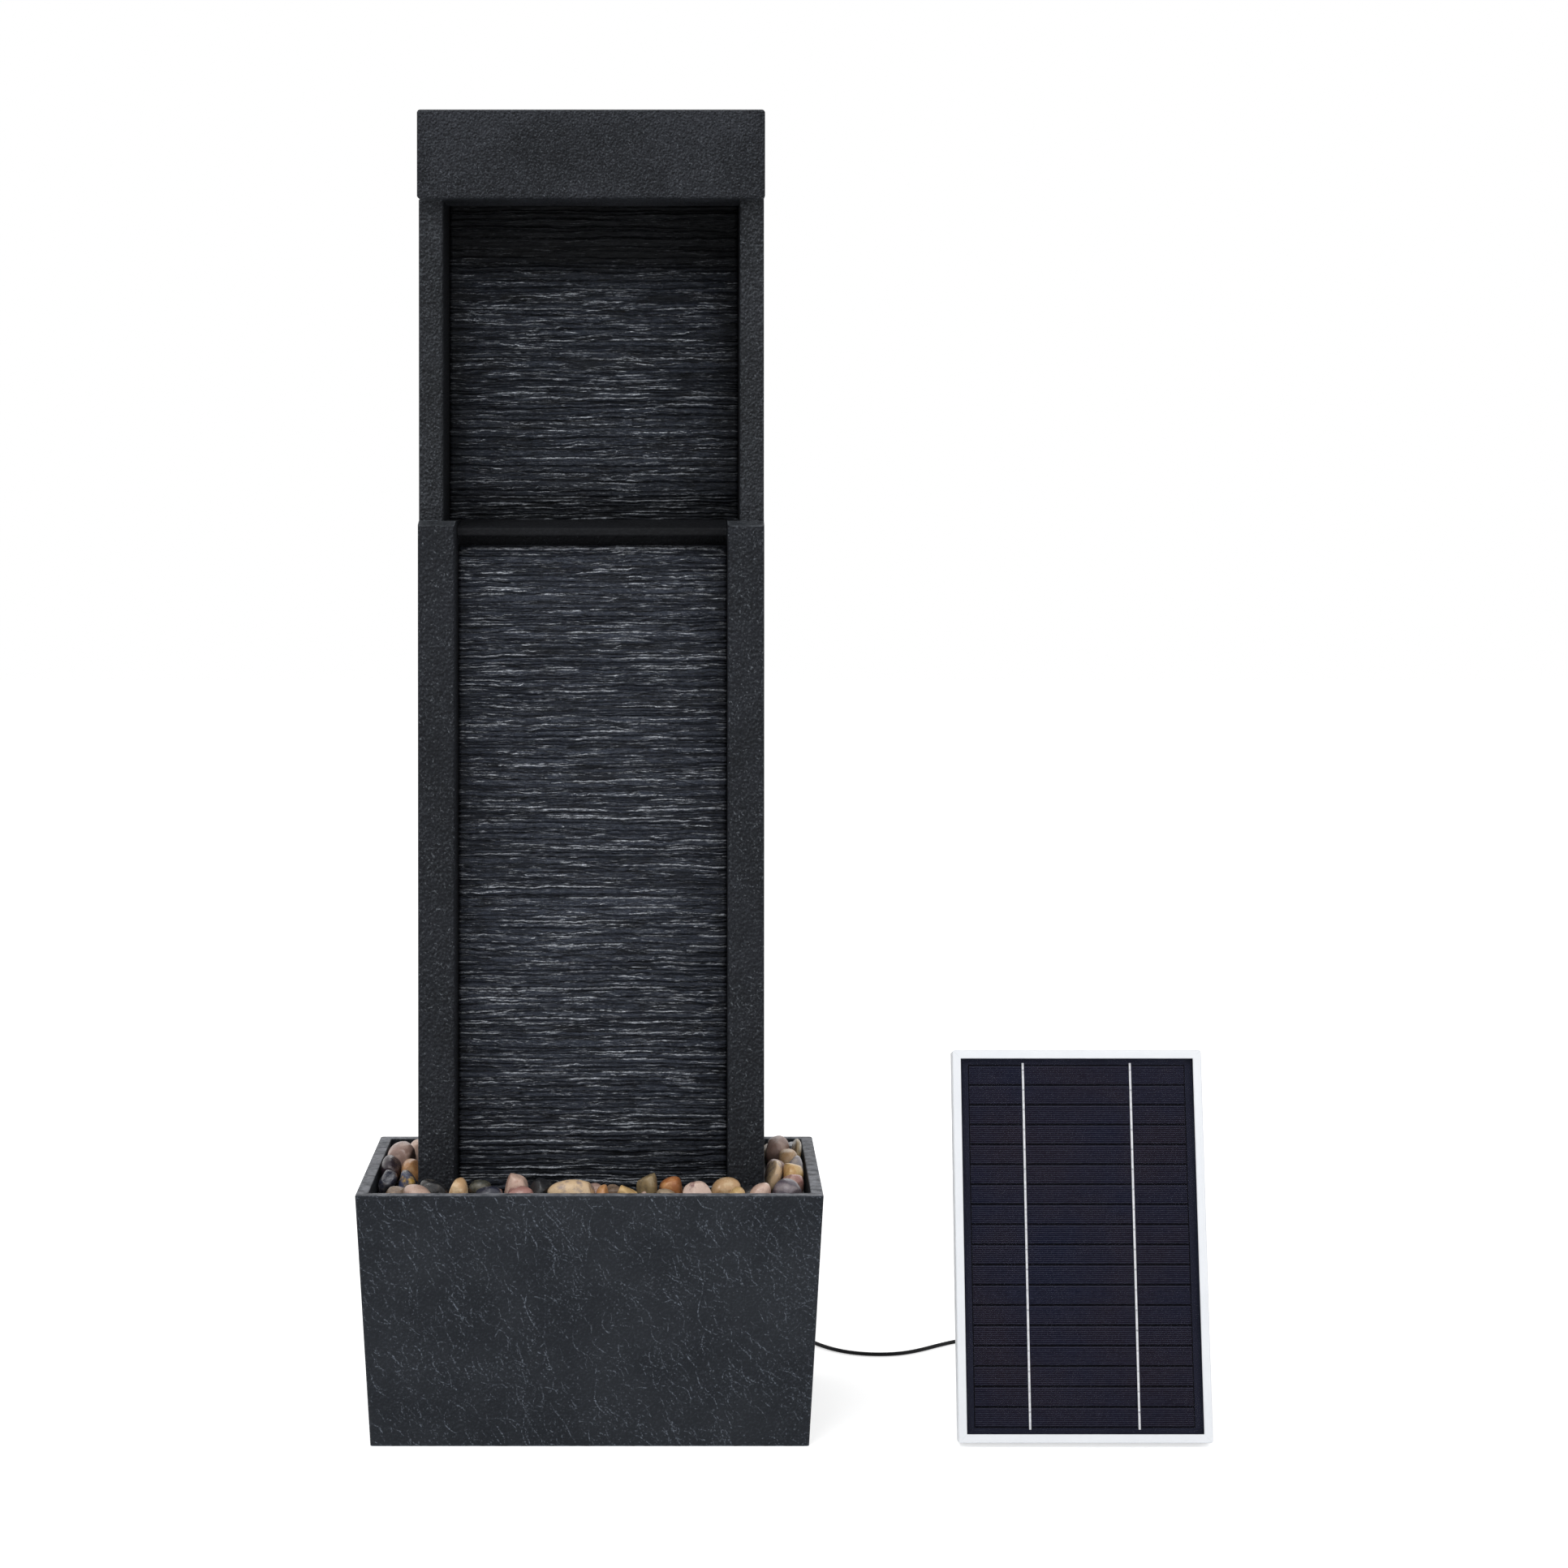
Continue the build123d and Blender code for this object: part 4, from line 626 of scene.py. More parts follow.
@dataclass(frozen=True)
class ResinFinish(Finish):
    """Charcoal cast resin with pale relief strokes, grain whose small lumps carry a painted highlight above
    and painted shade below, dry-brushed edges that also carry a painted highlight, and painted shade deep
    between the posts where set.
    """

    body: Colour
    deep: Colour
    pale: Colour
    layers: tuple[Streaks, ...]
    grain_size: float
    grain_depth: float
    lump_highlight_show: float
    lump_shade_show: float
    dust: Colour
    dust_show: float
    edge_show: float = 0.6
    fine_show: float = 0.4
    recess: Span | None = None
    cloud_size: float = 44.0
    fine_size: float = 0.55
    stroke_height: float = 0.7
    fine_height: float = 0.08
    relief: float = 0.0005
    roughness: float = 0.6
    shine: float = 0.1

    def recess_shade(self, wiring: Wiring, colour: Socket) -> Socket:
        """Paints the shade that falls deep between the posts.

        Args:
            wiring: The material's wiring.
            colour: The colour so far.

        Returns:
            The darkened colour.
        """
        place = wiring.node("ShaderNodeSeparateXYZ")
        wiring.feed(place.inputs[0], wiring.node("ShaderNodeTexCoord").outputs["Object"])
        deep = wiring.ramp(place.outputs[1], *self.recess)
        inner = wiring.ramp(wiring.math("ABSOLUTE", place.outputs[0]), *RECESS_SIDES)
        before = wiring.math("LESS_THAN", place.outputs[1], RECESS_BACK)
        mask = wiring.math("MULTIPLY", wiring.math("MULTIPLY", deep, inner), before)
        return wiring.cover(colour, RECESS_SHADE_BLACK, mask, RECESS_SHADE_SHOW)

    def build(self) -> bpy.types.Material:
        """Builds the resin."""
        material, wiring, shader = self.start(self.roughness, self.shine)
        cloud = wiring.place(Effects.grain(), Size=self.cloud_size, Spread=0.2)
        grain = wiring.place(Effects.grain(), Size=self.grain_size, Spread=0.24)
        fine = wiring.place(Effects.grain(), Size=self.fine_size, Spread=0.3)
        lumps = wiring.place(Effects.lit_and_shaded_lumps(), Size=self.grain_size, Gain=2.2)
        colour = wiring.mix(cloud, self.deep, self.body)
        # Painted highlight on the lumps' upper sides and painted shade under them
        colour = wiring.tint(colour, self.pale, lumps, 0.52, 0.95, self.lump_highlight_show)
        colour = wiring.tint(colour, LUMP_SHADE_BLACK, lumps, 0.48, 0.05, self.lump_shade_show)
        colour = wiring.tint(colour, self.deep, fine, 0.35, 0.0, self.fine_show)
        height = wiring.math("MULTIPLY", grain, self.grain_depth)
        for layer in self.layers:
            streak = layer.place(wiring)
            colour = wiring.cover(colour, self.pale, streak, layer.show)
            height = wiring.math("MULTIPLY_ADD", streak, self.stroke_height, height)
        # Pale edges: dry-brushed wear and a painted edge highlight
        edge = wiring.place(Effects.edge_wear_and_highlight(), Width=0.0013, Patch=7.0)
        colour = wiring.cover(colour, self.pale, edge, self.edge_show)
        dust = wiring.place(Effects.settled_dust(), Patch=8.0)
        colour = wiring.cover(colour, self.dust, dust, self.dust_show)
        if self.recess is not None:
            colour = self.recess_shade(wiring, colour)
        wiring.feed(shader.inputs["Base Color"], colour)
        wiring.roughen(shader, grain, 0.0, 1.0, self.roughness + 0.07, self.roughness - 0.07)
        height = wiring.math("MULTIPLY_ADD", fine, self.fine_height, height)
        wiring.feed(shader.inputs["Normal"], wiring.bump(height, self.relief))
        return material


@dataclass(frozen=True)
class LayerEdges:
    """Painted highlights along the upper edges of random slate layers and painted shadows under them, in
    millimetres.
    """

    line: float
    run: float
    thick: float
    show: float
    wave: float = 4.4
    start: Span = (0.5, 0.56)

    def place(self, wiring: Wiring) -> tuple[Socket, Socket]:
        """Places the lines in a material.

        Args:
            wiring: The material's wiring.

        Returns:
            Masks of the painted highlight on the layers' upper edges and of the painted shadow under them.
        """
        shape = {"Line": self.line, "Run": self.run, "Wave": self.wave}
        here = wiring.place(Effects.brushing(), **shape)
        above = wiring.place(Effects.brushing(), **shape, Lift=self.thick)
        inside = wiring.ramp(here, *self.start)
        step = wiring.math("SUBTRACT", inside, wiring.ramp(above, *self.start))
        under = wiring.math("MULTIPLY", step, -1.0)
        return wiring.math("MAXIMUM", step, 0.0), wiring.math("MAXIMUM", under, 0.0)


@dataclass(frozen=True)
class SlateFinish(Finish):
    """Split slate: pale broken crests and black grooves, read from the mesh and drawn between; the crests
    are partly a painted highlight and the grooves partly painted shade.
    """

    body: Colour
    groove: Colour
    crest: Colour
    painted_shade_show: float
    edges: tuple[LayerEdges, ...] = (LayerEdges(5.6, 62.0, 0.6, 0.9), LayerEdges(3.4, 32.0, 0.44, 0.42))
    groove_show: float = 0.7
    under_shadow_show: float = 0.95
    relief: float = 0.0009
    roughness: float = 0.55
    shine: float = 0.12

    def build(self) -> bpy.types.Material:
        """Builds the slate."""
        material, wiring, shader = self.start(self.roughness, self.shine)
        crest = wiring.attribute("crest")
        groove = wiring.attribute("groove")
        painted_shade = wiring.attribute("painted_shade")
        lines = wiring.place(Effects.brushing(), Line=1.5, Run=22.0, Wave=3.0)
        nicks = wiring.place(Effects.brushing(), Line=0.9, Run=4.2, Wave=2.0)
        grain = wiring.place(Effects.grain(), Size=1.1, Spread=0.24)
        patch = wiring.place(Effects.grain(), Size=46.0, Spread=0.2)
        colour = wiring.mix(wiring.ramp(patch, 0.0, 1.0, 0.12, 0.0), self.body, self.groove)
        colour = wiring.tint(colour, self.groove, lines, 0.5, 0.32, 0.6)
        colour = wiring.tint(colour, self.crest, lines, 0.52, 0.72, 0.05)
        colour = wiring.tint(colour, self.groove, nicks, 0.46, 0.32, 0.35)
        colour = wiring.tint(colour, self.crest, nicks, 0.53, 0.7, 0.07)
        colour = wiring.tint(colour, self.groove, grain, 0.5, 0.0, 0.5)
        # Dark grooves from the mesh: partly painted shade in the creases between layers
        colour = wiring.cover(colour, self.groove, groove, self.groove_show)
        beads = wiring.ramp(nicks, 0.41, 0.57, 0.1, 1.0)
        # Pale crests from the mesh: partly a painted highlight on the layers' upper lips
        pale = wiring.math("MULTIPLY", crest, beads)
        runs = wiring.place(Effects.brushing(), Line=5.0, Run=30.0, Wave=3.0)
        # Painted highlights on the layers' upper edges and painted shadows under them
        for edges in self.edges:
            top, under = edges.place(wiring)
            colour = wiring.cover(colour, self.groove, under, self.under_shadow_show)
            drift = wiring.ramp(runs, 0.44, 0.6, 0.08 * edges.show, edges.show)
            seen = wiring.math("MULTIPLY", beads, drift)
            pale = wiring.math("MAXIMUM", pale, wiring.math("MULTIPLY", top, seen))
        pale = wiring.math("MULTIPLY", pale, wiring.ramp(grain, 0.1, 0.7, 0.4, 1.0))
        colour = wiring.mix(pale, colour, self.crest)
        # Painted shade read from the mesh: the header's shadow, and shade at the foot, beside the posts and
        # on the rounded top edge
        colour = wiring.cover(colour, self.groove, painted_shade, self.painted_shade_show)
        wiring.feed(shader.inputs["Base Color"], colour)
        wiring.roughen(shader, lines, 0.3, 0.7, self.roughness + 0.1, self.roughness - 0.08)
        height = wiring.math("MULTIPLY_ADD", nicks, 0.5, lines)
        height = wiring.math("MULTIPLY_ADD", grain, 0.2, height)
        wiring.feed(shader.inputs["Normal"], wiring.bump(height, self.relief))
        return material


@dataclass(frozen=True)
class PebbleFinish(Finish):
    """Polished river stone, with each stone's two colours read from the mesh and a painted sheen in soft
    pale patches.
    """

    speck_show: float = 0.28
    sheen_show: float = 0.08
    relief: float = 0.0003
    roughness: float = 0.26
    shine: float = 0.45

    def build(self) -> bpy.types.Material:
        """Builds the stone."""
        material, wiring, shader = self.start(self.roughness, self.shine)
        place = wiring.node("ShaderNodeTexCoord").outputs["Object"]
        base = wiring.attribute("stone", "Color")
        second = wiring.attribute("vein", "Color")
        share = wiring.attribute("share")
        band = wiring.attribute("band")
        blotch = wiring.noise(place, 130.0, 3.0, 0.6)
        waves = wiring.math("MULTIPLY", band, 9.0)
        stripes = wiring.math("MULTIPLY_ADD", wiring.noise(place, 60.0, 2.0), 7.0, waves)
        stripes = wiring.math("MULTIPLY_ADD", wiring.math("SINE", stripes), 0.22, 0.5)
        striped = wiring.math("GREATER_THAN", band, 0.001)
        pattern = wiring.between(striped, blotch, stripes)
        edge = wiring.math("SUBTRACT", 0.78, wiring.math("MULTIPLY", share, 0.5))
        mask = wiring.ramp(pattern, wiring.math("SUBTRACT", edge, 0.09), wiring.math("ADD", edge, 0.09))
        colour = wiring.mix(mask, base, second)
        speck = wiring.place(Effects.grain(), Size=0.7, Spread=0.26)
        cloud = wiring.place(Effects.grain(), Size=7.0, Spread=0.3)
        colour = wiring.tint(colour, STONE_SPECK, speck, 0.3, 0.0, self.speck_show)
        # Painted sheen: a pale tint in soft patches
        colour = wiring.tint(colour, STONE_SHEEN, cloud, 0.5, 1.0, self.sheen_show)
        wiring.feed(shader.inputs["Base Color"], colour)
        wiring.roughen(shader, cloud, 0.0, 1.0, self.roughness + 0.12, self.roughness - 0.05)
        height = wiring.math("MULTIPLY_ADD", speck, 0.2, cloud)
        wiring.feed(shader.inputs["Normal"], wiring.bump(height, self.relief))
        return material


@dataclass(frozen=True)
class MouldedFinish(Finish):
    """Moulded plastic or rubber with a fine texture, paler edges and a little dust."""

    body: Colour
    second: Colour
    roughness: float = 0.5
    grain_size: float = 0.7
    grain_depth: float = 0.00012
    edge: Colour = (0.2, 0.2, 0.2, 1.0)
    edge_show: float = 0.25
    shine: float = 0.4
    coat: float = 0.0
    coat_roughness: float = 0.2
    dust_show: float = 0.06

    def build(self) -> bpy.types.Material:
        """Builds the moulded material."""
        material, wiring, shader = self.start(self.roughness, self.shine)
        shader.inputs["Coat Weight"].default_value = self.coat
        shader.inputs["Coat Roughness"].default_value = self.coat_roughness
        cloud = wiring.place(Effects.grain(), Size=24.0, Spread=0.25)
        grain = wiring.place(Effects.grain(), Size=self.grain_size, Spread=0.25)
        blend = wiring.math("MULTIPLY_ADD", grain, 0.35, wiring.math("MULTIPLY", cloud, 0.65))
        colour = wiring.mix(blend, self.body, self.second)
        edge = wiring.place(Effects.edge_wear_and_highlight(), Width=0.0007, Patch=4.0)
        colour = wiring.cover(colour, self.edge, edge, self.edge_show)
        dust = wiring.place(Effects.settled_dust(), Patch=5.0)
        colour = wiring.cover(colour, PALE_DUST, dust, self.dust_show)
        wiring.feed(shader.inputs["Base Color"], colour)
        wiring.roughen(shader, blend, 0.0, 1.0, self.roughness - 0.06, self.roughness + 0.08)
        wiring.feed(shader.inputs["Normal"], wiring.bump(grain, self.grain_depth))
        return material


@dataclass(frozen=True)
class MetalFinish(Finish):
    """Drawn or plated metal with fine lines."""

    body: Colour
    second: Colour
    roughness: float = 0.3
    line: float = 0.25
    run: float = 8.0
    relief: float = 0.00005
    metallic: float = 1.0

    def build(self) -> bpy.types.Material:
        """Builds the metal."""
        material, wiring, shader = self.start(self.roughness)
        shader.inputs["Metallic"].default_value = self.metallic
        lines = wiring.place(Effects.brushing(), Line=self.line, Run=self.run)
        cloud = wiring.place(Effects.grain(), Size=3.0, Spread=0.25)
        colour = wiring.mix(wiring.ramp(lines, 0.3, 0.7), self.body, self.second)
        colour = wiring.cover(colour, self.second, cloud, 0.3)
        wiring.feed(shader.inputs["Base Color"], colour)
        wiring.roughen(shader, lines, 0.3, 0.7, self.roughness - 0.06, self.roughness + 0.12)
        wiring.feed(shader.inputs["Normal"], wiring.bump(lines, self.relief))
        return material


@dataclass(frozen=True)
class PanelSheet(Finish):
    """A sheet of the solar panel, with lines set out up the panel from its foot, in metres."""

    body: Colour
    second: Colour
    line: Colour
    pitch: float
    line_share: float
    line_show: float
    foot: Place = PANEL_FOOT
    upward: Place = PANEL_UP
    cell_area: Place | None = None
    rungs: Place | None = None
    gap: Colour = shade(4, 4, 8)
    edge_show: float = 0.28
    mottle: float = 0.14
    relief: float = 0.00002
    roughness: float = 0.4
    shine: float = 0.05

    def gaps(self, wiring: Wiring, colour: Socket, height: Socket) -> Socket:
        """Draws the dark gaps between the cells and a painted highlight along the cell edge under each gap.

        Args:
            wiring: The material's wiring.
            colour: The colour so far.
            height: Height up the panel from its foot.

        Returns:
            The colour with the gaps.
        """
        first, step, thick = self.rungs
        from_rung = wiring.math("SUBTRACT", height, first - step / 2)
        rung = wiring.math("FRACT", wiring.math("DIVIDE", from_rung, step))
        above_gap = wiring.math("SUBTRACT", rung, 0.5)
        share = thick / step
        # Painted highlight along the cell edge under each gap
        upper_edge = wiring.ramp(above_gap, -0.4 * share, -0.7 * share)
        edge = wiring.math("MULTIPLY", upper_edge, wiring.ramp(above_gap, -1.5 * share, -0.9 * share))
        colour = wiring.cover(colour, self.line, edge, self.edge_show)
        away = wiring.math("ABSOLUTE", above_gap)
        return wiring.mix(wiring.ramp(away, 0.6 * share, 0.4 * share), colour, self.gap)

    def darkened(self, wiring: Wiring, colour: Socket, place: Socket, height: Socket) -> Socket:
        """Darkens the front of the sheet where the cells lie on it.

        Args:
            wiring: The material's wiring.
            colour: The colour so far.
            place: Place from the panel's foot.
            height: Height up the panel from its foot.

        Returns:
            The darkened colour.
        """
        half, low, high = self.cell_area
        off_middle = wiring.math("ABSOLUTE", wiring.vector("DOT_PRODUCT", place, (1.0, 0.0, 0.0)))
        beside = wiring.math("LESS_THAN", off_middle, half)
        above = wiring.math("GREATER_THAN", height, low)
        below = wiring.math("LESS_THAN", height, high)
        facing = wiring.node("ShaderNodeSeparateXYZ")
        wiring.feed(facing.inputs[0], wiring.node("ShaderNodeTexCoord").outputs["Normal"])
        front = wiring.math("LESS_THAN", facing.outputs[1], -0.5)
        mask = wiring.math("MULTIPLY", front, wiring.math("MULTIPLY", above, below))
        return wiring.cover(colour, self.gap, beside, mask)

    def build(self) -> bpy.types.Material:
        """Builds the sheet."""
        material, wiring, shader = self.start(self.roughness, self.shine)
        coordinates = wiring.node("ShaderNodeTexCoord").outputs["Object"]
        place = wiring.vector("SUBTRACT", coordinates, self.foot)
        height = wiring.vector("DOT_PRODUCT", place, self.upward)
        cloud = wiring.place(Effects.grain(), Size=60.0, Spread=0.25)
        fine = wiring.place(Effects.grain(), Size=1.6, Spread=0.3)
        colour = wiring.mix(cloud, self.body, self.second)
        colour = wiring.cover(colour, self.line, fine, self.mottle)
        beat = wiring.math("FRACT", wiring.math("DIVIDE", height, self.pitch))
        off_line = wiring.math("ABSOLUTE", wiring.math("SUBTRACT", beat, 0.5))
        finger = wiring.ramp(off_line, self.line_share, self.line_share * 0.4)
        weight = wiring.ramp(fine, 0.0, 1.0, 0.6 * self.line_show, self.line_show)
        colour = wiring.cover(colour, self.line, finger, weight)
        if self.rungs is not None:
            colour = self.gaps(wiring, colour, height)
        if self.cell_area is not None:
            colour = self.darkened(wiring, colour, place, height)
        wiring.feed(shader.inputs["Base Color"], colour)
        wiring.roughen(shader, fine, 0.0, 1.0, self.roughness + 0.08, self.roughness - 0.08)
        wiring.feed(shader.inputs["Normal"], wiring.bump(finger, self.relief))
        return material


@dataclass(frozen=True)
class ClearFinish(Finish):
    """Clear glass or hose, with a faint tint and a film of dust."""

    tint: Colour
    film: Colour
    alpha: float
    film_alpha: float
    roughness: float = 0.06
    shine: float = 0.5

    def build(self) -> bpy.types.Material:
        """Builds the clear material."""
        material, wiring, shader = self.start(self.roughness, self.shine)
        cloud = wiring.place(Effects.grain(), Size=30.0, Spread=0.3)
        fine = wiring.place(Effects.grain(), Size=0.9, Spread=0.3)
        wiring.feed(shader.inputs["Base Color"], wiring.mix(cloud, self.tint, self.film))
        film = wiring.math("MULTIPLY_ADD", fine, 0.3, wiring.math("MULTIPLY", cloud, 0.7))
        wiring.feed(shader.inputs["Alpha"], wiring.ramp(film, 0.0, 1.0, self.alpha, self.film_alpha))
        wiring.roughen(shader, film, 0.0, 1.0, self.roughness, self.roughness + 0.1)
        return material


BASIN_RESIN = ResinFinish(
    "slate_resin_basin",
    body=shade(41, 44, 49),
    deep=shade(33, 36, 41),
    pale=shade(138, 147, 160),
    layers=(
        Streaks(28.0, 60.0, 0.58, -0.95, 0.3, 0.65, 0.6, 0.0),
        Streaks(14.0, 25.0, 0.56, -1.05, 0.3, 0.75, 0.54, 0.217),
        Streaks(11.0, 17.0, 0.56, -0.95, 0.5, 0.6, 0.48, 0.311),
        Streaks(6.4, 8.0, 0.56, -1.0, 0.9, 0.7, 0.46, 0.533),
        Streaks(2.7, 2.6, 0.66, -0.9, 1.6, 0.6, 0.32, 0.871),
    ),
    grain_size=1.9,
    grain_depth=0.12,
    lump_highlight_show=0.04,
    lump_shade_show=0.08,
    dust=shade(142, 144, 150),
    dust_show=0.95,
    # Edges painted pale in full: dry-brushed wear and a painted edge highlight
    edge_show=1.0,
    fine_show=0.12,
)
TOWER_RESIN = ResinFinish(
    "slate_resin_tower",
    body=shade(42, 44, 48),
    deep=shade(33, 35, 38),
    pale=shade(126, 132, 139),
    layers=(
        Streaks(4.2, 4.0, 0.5, -0.8, 0.9, 0.4, 0.5, 0.11),
        Streaks(2.2, 1.5, 0.5, -0.8, 1.4, 0.35, 0.45, 0.37),
    ),
    grain_size=1.9,
    grain_depth=0.8,
    lump_highlight_show=0.19,
    lump_shade_show=0.75,
    dust=shade(92, 96, 100),
    dust_show=0.35,
    recess=(-0.05, -0.018),
)
LOWER_RESIN = replace(
    TOWER_RESIN,
    name="slate_resin_posts",
    body=shade(35, 37, 42),
    deep=shade(28, 30, 34),
    layers=(
        Streaks(6.0, 5.0, 0.6, -0.8, 1.0, 0.65, 0.6, 0.11),
        Streaks(2.8, 2.2, 0.6, -0.8, 1.5, 0.6, 0.45, 0.37),
    ),
    grain_size=2.1,
    grain_depth=0.6,
    lump_highlight_show=0.1,
    lump_shade_show=0.55,
    fine_show=0.2,
)
HEADER_RESIN = ResinFinish(
    "slate_resin_header",
    body=shade(44, 46, 51),
    deep=shade(30, 32, 36),
    pale=shade(124, 130, 138),
    layers=(
        Streaks(3.6, 3.6, 0.45, -0.75, 0.7, 0.4, 0.45, 0.19),
        Streaks(2.0, 1.4, 0.45, -0.7, 1.2, 0.35, 0.45, 0.71),
    ),
    grain_size=1.6,
    grain_depth=1.0,
    lump_highlight_show=0.16,
    lump_shade_show=0.85,
    dust=shade(88, 92, 97),
    dust_show=0.35,
)
LOWER_SLATE = SlateFinish(
    "slate_lower_panel",
    body=shade(54, 59, 70),
    groove=shade(12, 13, 15),
    crest=shade(236, 242, 251),
    painted_shade_show=0.6,
)
UPPER_SLATE = SlateFinish(
    "slate_upper_panel",
    body=shade(44, 49, 59),
    groove=shade(4, 5, 6),
    crest=shade(234, 241, 251),
    painted_shade_show=0.95,
)
LEDGE_STONE = ResinFinish(
    "slate_ledge",
    body=shade(22, 23, 26),
    deep=shade(16, 17, 19),
    pale=shade(70, 73, 78),
    layers=(Streaks(5.0, 9.0, 0.3, 0.0, 0.2, 0.4, 0.3, 0.3),),
    grain_size=2.4,
    grain_depth=0.3,
    lump_highlight_show=0.05,
    lump_shade_show=0.3,
    dust=shade(52, 54, 58),
    dust_show=0.2,
    edge_show=0.3,
)
PEBBLE = PebbleFinish("polished_pebble")
BLACK_MOULDING = MouldedFinish("black_moulding", shade(22, 22, 23), shade(32, 32, 33))
PUMP_BLACK = MouldedFinish(
    "pump_black",
    shade(20, 21, 23),
    shade(30, 31, 34),
    roughness=0.44,
    grain_size=0.9,
)
DIAL_GREY = MouldedFinish("dial_grey", shade(112, 116, 120), shade(136, 140, 143), roughness=0.46)
IMPELLER_WHITE = MouldedFinish(
    "impeller_white",
    shade(214, 214, 208),
    shade(228, 227, 222),
    roughness=0.4,
)
RUBBER = MouldedFinish(
    "rubber_black",
    shade(17, 17, 17),
    shade(27, 27, 26),
    roughness=0.72,
    grain_size=0.5,
    grain_depth=0.0002,
    shine=0.25,
)
LEAD_SHEATH = MouldedFinish(
    "lead_sheath",
    shade(7, 7, 10),
    shade(13, 13, 17),
    roughness=0.6,
    grain_size=0.4,
    grain_depth=0.00006,
    edge_show=0.0,
    shine=0.18,
    dust_show=0.01,
)
KEY_GREY = MouldedFinish("key_grey", shade(150, 153, 157), shade(168, 171, 174), roughness=0.45)
FRAME_WHITE = MouldedFinish(
    "frame_white",
    shade(236, 239, 244),
    shade(242, 245, 249),
    roughness=0.42,
    grain_size=1.2,
    grain_depth=0.00003,
    edge=shade(206, 209, 214),
    edge_show=0.4,
)
BOX_BLACK = MouldedFinish(
    "box_black",
    shade(24, 25, 27),
    shade(36, 37, 39),
    roughness=0.55,
    grain_size=0.8,
    grain_depth=0.0002,
)
BATTERY_WRAP = MouldedFinish(
    "battery_wrap",
    shade(38, 84, 140),
    shade(52, 100, 156),
    roughness=0.28,
    grain_size=3.0,
    grain_depth=0.00004,
)
BOARD_GREEN = MouldedFinish(
    "board_green",
    shade(22, 84, 48),
    shade(34, 104, 60),
    roughness=0.35,
    grain_size=2.2,
    grain_depth=0.00005,
)
BUTTON_GREY = MouldedFinish("button_grey", shade(96, 99, 103), shade(116, 119, 122), roughness=0.5)
LENS_GREEN = MouldedFinish(
    "lens_green",
    shade(46, 128, 70),
    shade(84, 170, 104),
    roughness=0.16,
    grain_size=1.4,
    grain_depth=0.00003,
    coat=0.6,
)
STEEL = MetalFinish("steel", shade(176, 178, 182), shade(206, 208, 211))
CELL_NAVY = PanelSheet(
    "cell_navy",
    body=shade(14, 18, 34),
    second=shade(26, 20, 26),
    line=shade(62, 63, 78),
    pitch=1.42 * MM,
    line_share=0.2,
    line_show=0.6,
    rungs=(10.7 * MM, CELL_PITCH, 1.3 * MM),
    shine=0.02,
)
SHEET_NAVY = PanelSheet(
    "sheet_navy",
    body=shade(27, 29, 42),
    second=shade(32, 33, 47),
    line=shade(39, 41, 56),
    pitch=0.5 * MM,
    line_share=0.2,
    line_show=0.25,
    cell_area=(0.0788, 0.0103, 0.2667),
)
RIBBON_SILVER = PanelSheet(
    "ribbon_silver",
    body=shade(236, 238, 243),
    second=shade(246, 247, 250),
    line=shade(122, 124, 136),
    pitch=CELL_PITCH,
    line_share=0.05,
    line_show=0.7,
    mottle=0.42,
    roughness=0.35,
    shine=0.5,
)
PANEL_GLASS = ClearFinish(
    "panel_glass",
    tint=shade(40, 44, 62),
    film=shade(70, 74, 92),
    alpha=0.01,
    film_alpha=0.03,
    roughness=0.2,
    shine=0.05,
)
HOSE_CLEAR = ClearFinish(
    "hose_clear",
    tint=shade(190, 200, 202),
    film=shade(216, 222, 222),
    alpha=0.4,
    film_alpha=0.55,
    roughness=0.22,
)


def dress(finish: Finish, *nodes: str) -> None:
    """Gives CAD nodes a finish.

    Args:
        finish: The finish.
        *nodes: The nodes' names.
    """
    for node in nodes:
        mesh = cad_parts[node].data
        mesh.materials.clear()
        mesh.materials.append(finish.material())
        log.info("%s is dressed in %s", node, finish.name)


def new_piece(
    name: str,
    points: np.ndarray,
    faces: list[tuple[int, ...]],
    finish: Finish,
) -> bpy.types.Object:
    """Makes a smooth mesh object.

    Args:
        name: The piece's name.
        points: Its vertices in metres.
        faces: Its faces.
        finish: Its finish.

    Returns:
        The object, linked to the scene.
    """
    mesh = bpy.data.meshes.new(name)
    mesh.from_pydata(points.tolist(), [], faces)
    mesh.polygons.foreach_set("use_smooth", [True] * len(mesh.polygons))
    mesh.materials.append(finish.material())
    mesh.update()
    piece = bpy.data.objects.new(name, mesh)
    bpy.context.scene.collection.objects.link(piece)
    return piece


def paint(piece: bpy.types.Object, name: str, values: np.ndarray) -> None:
    """Stores a number or a colour for each vertex of a piece.

    Args:
        piece: The piece.
        name: The attribute's name.
        values: One number or one colour a vertex.
    """
    colour = values.ndim == 2
    attribute = piece.data.attributes.new(name, "FLOAT_COLOR" if colour else "FLOAT", "POINT")
    attribute.data.foreach_set("color" if colour else "value", values.astype(np.float32).ravel())


def ease(share: np.ndarray) -> np.ndarray:
    """Smooth step of a share, clamped from 0 to 1."""
    held = np.clip(share, 0.0, 1.0)
    return held * held * (3.0 - 2.0 * held)


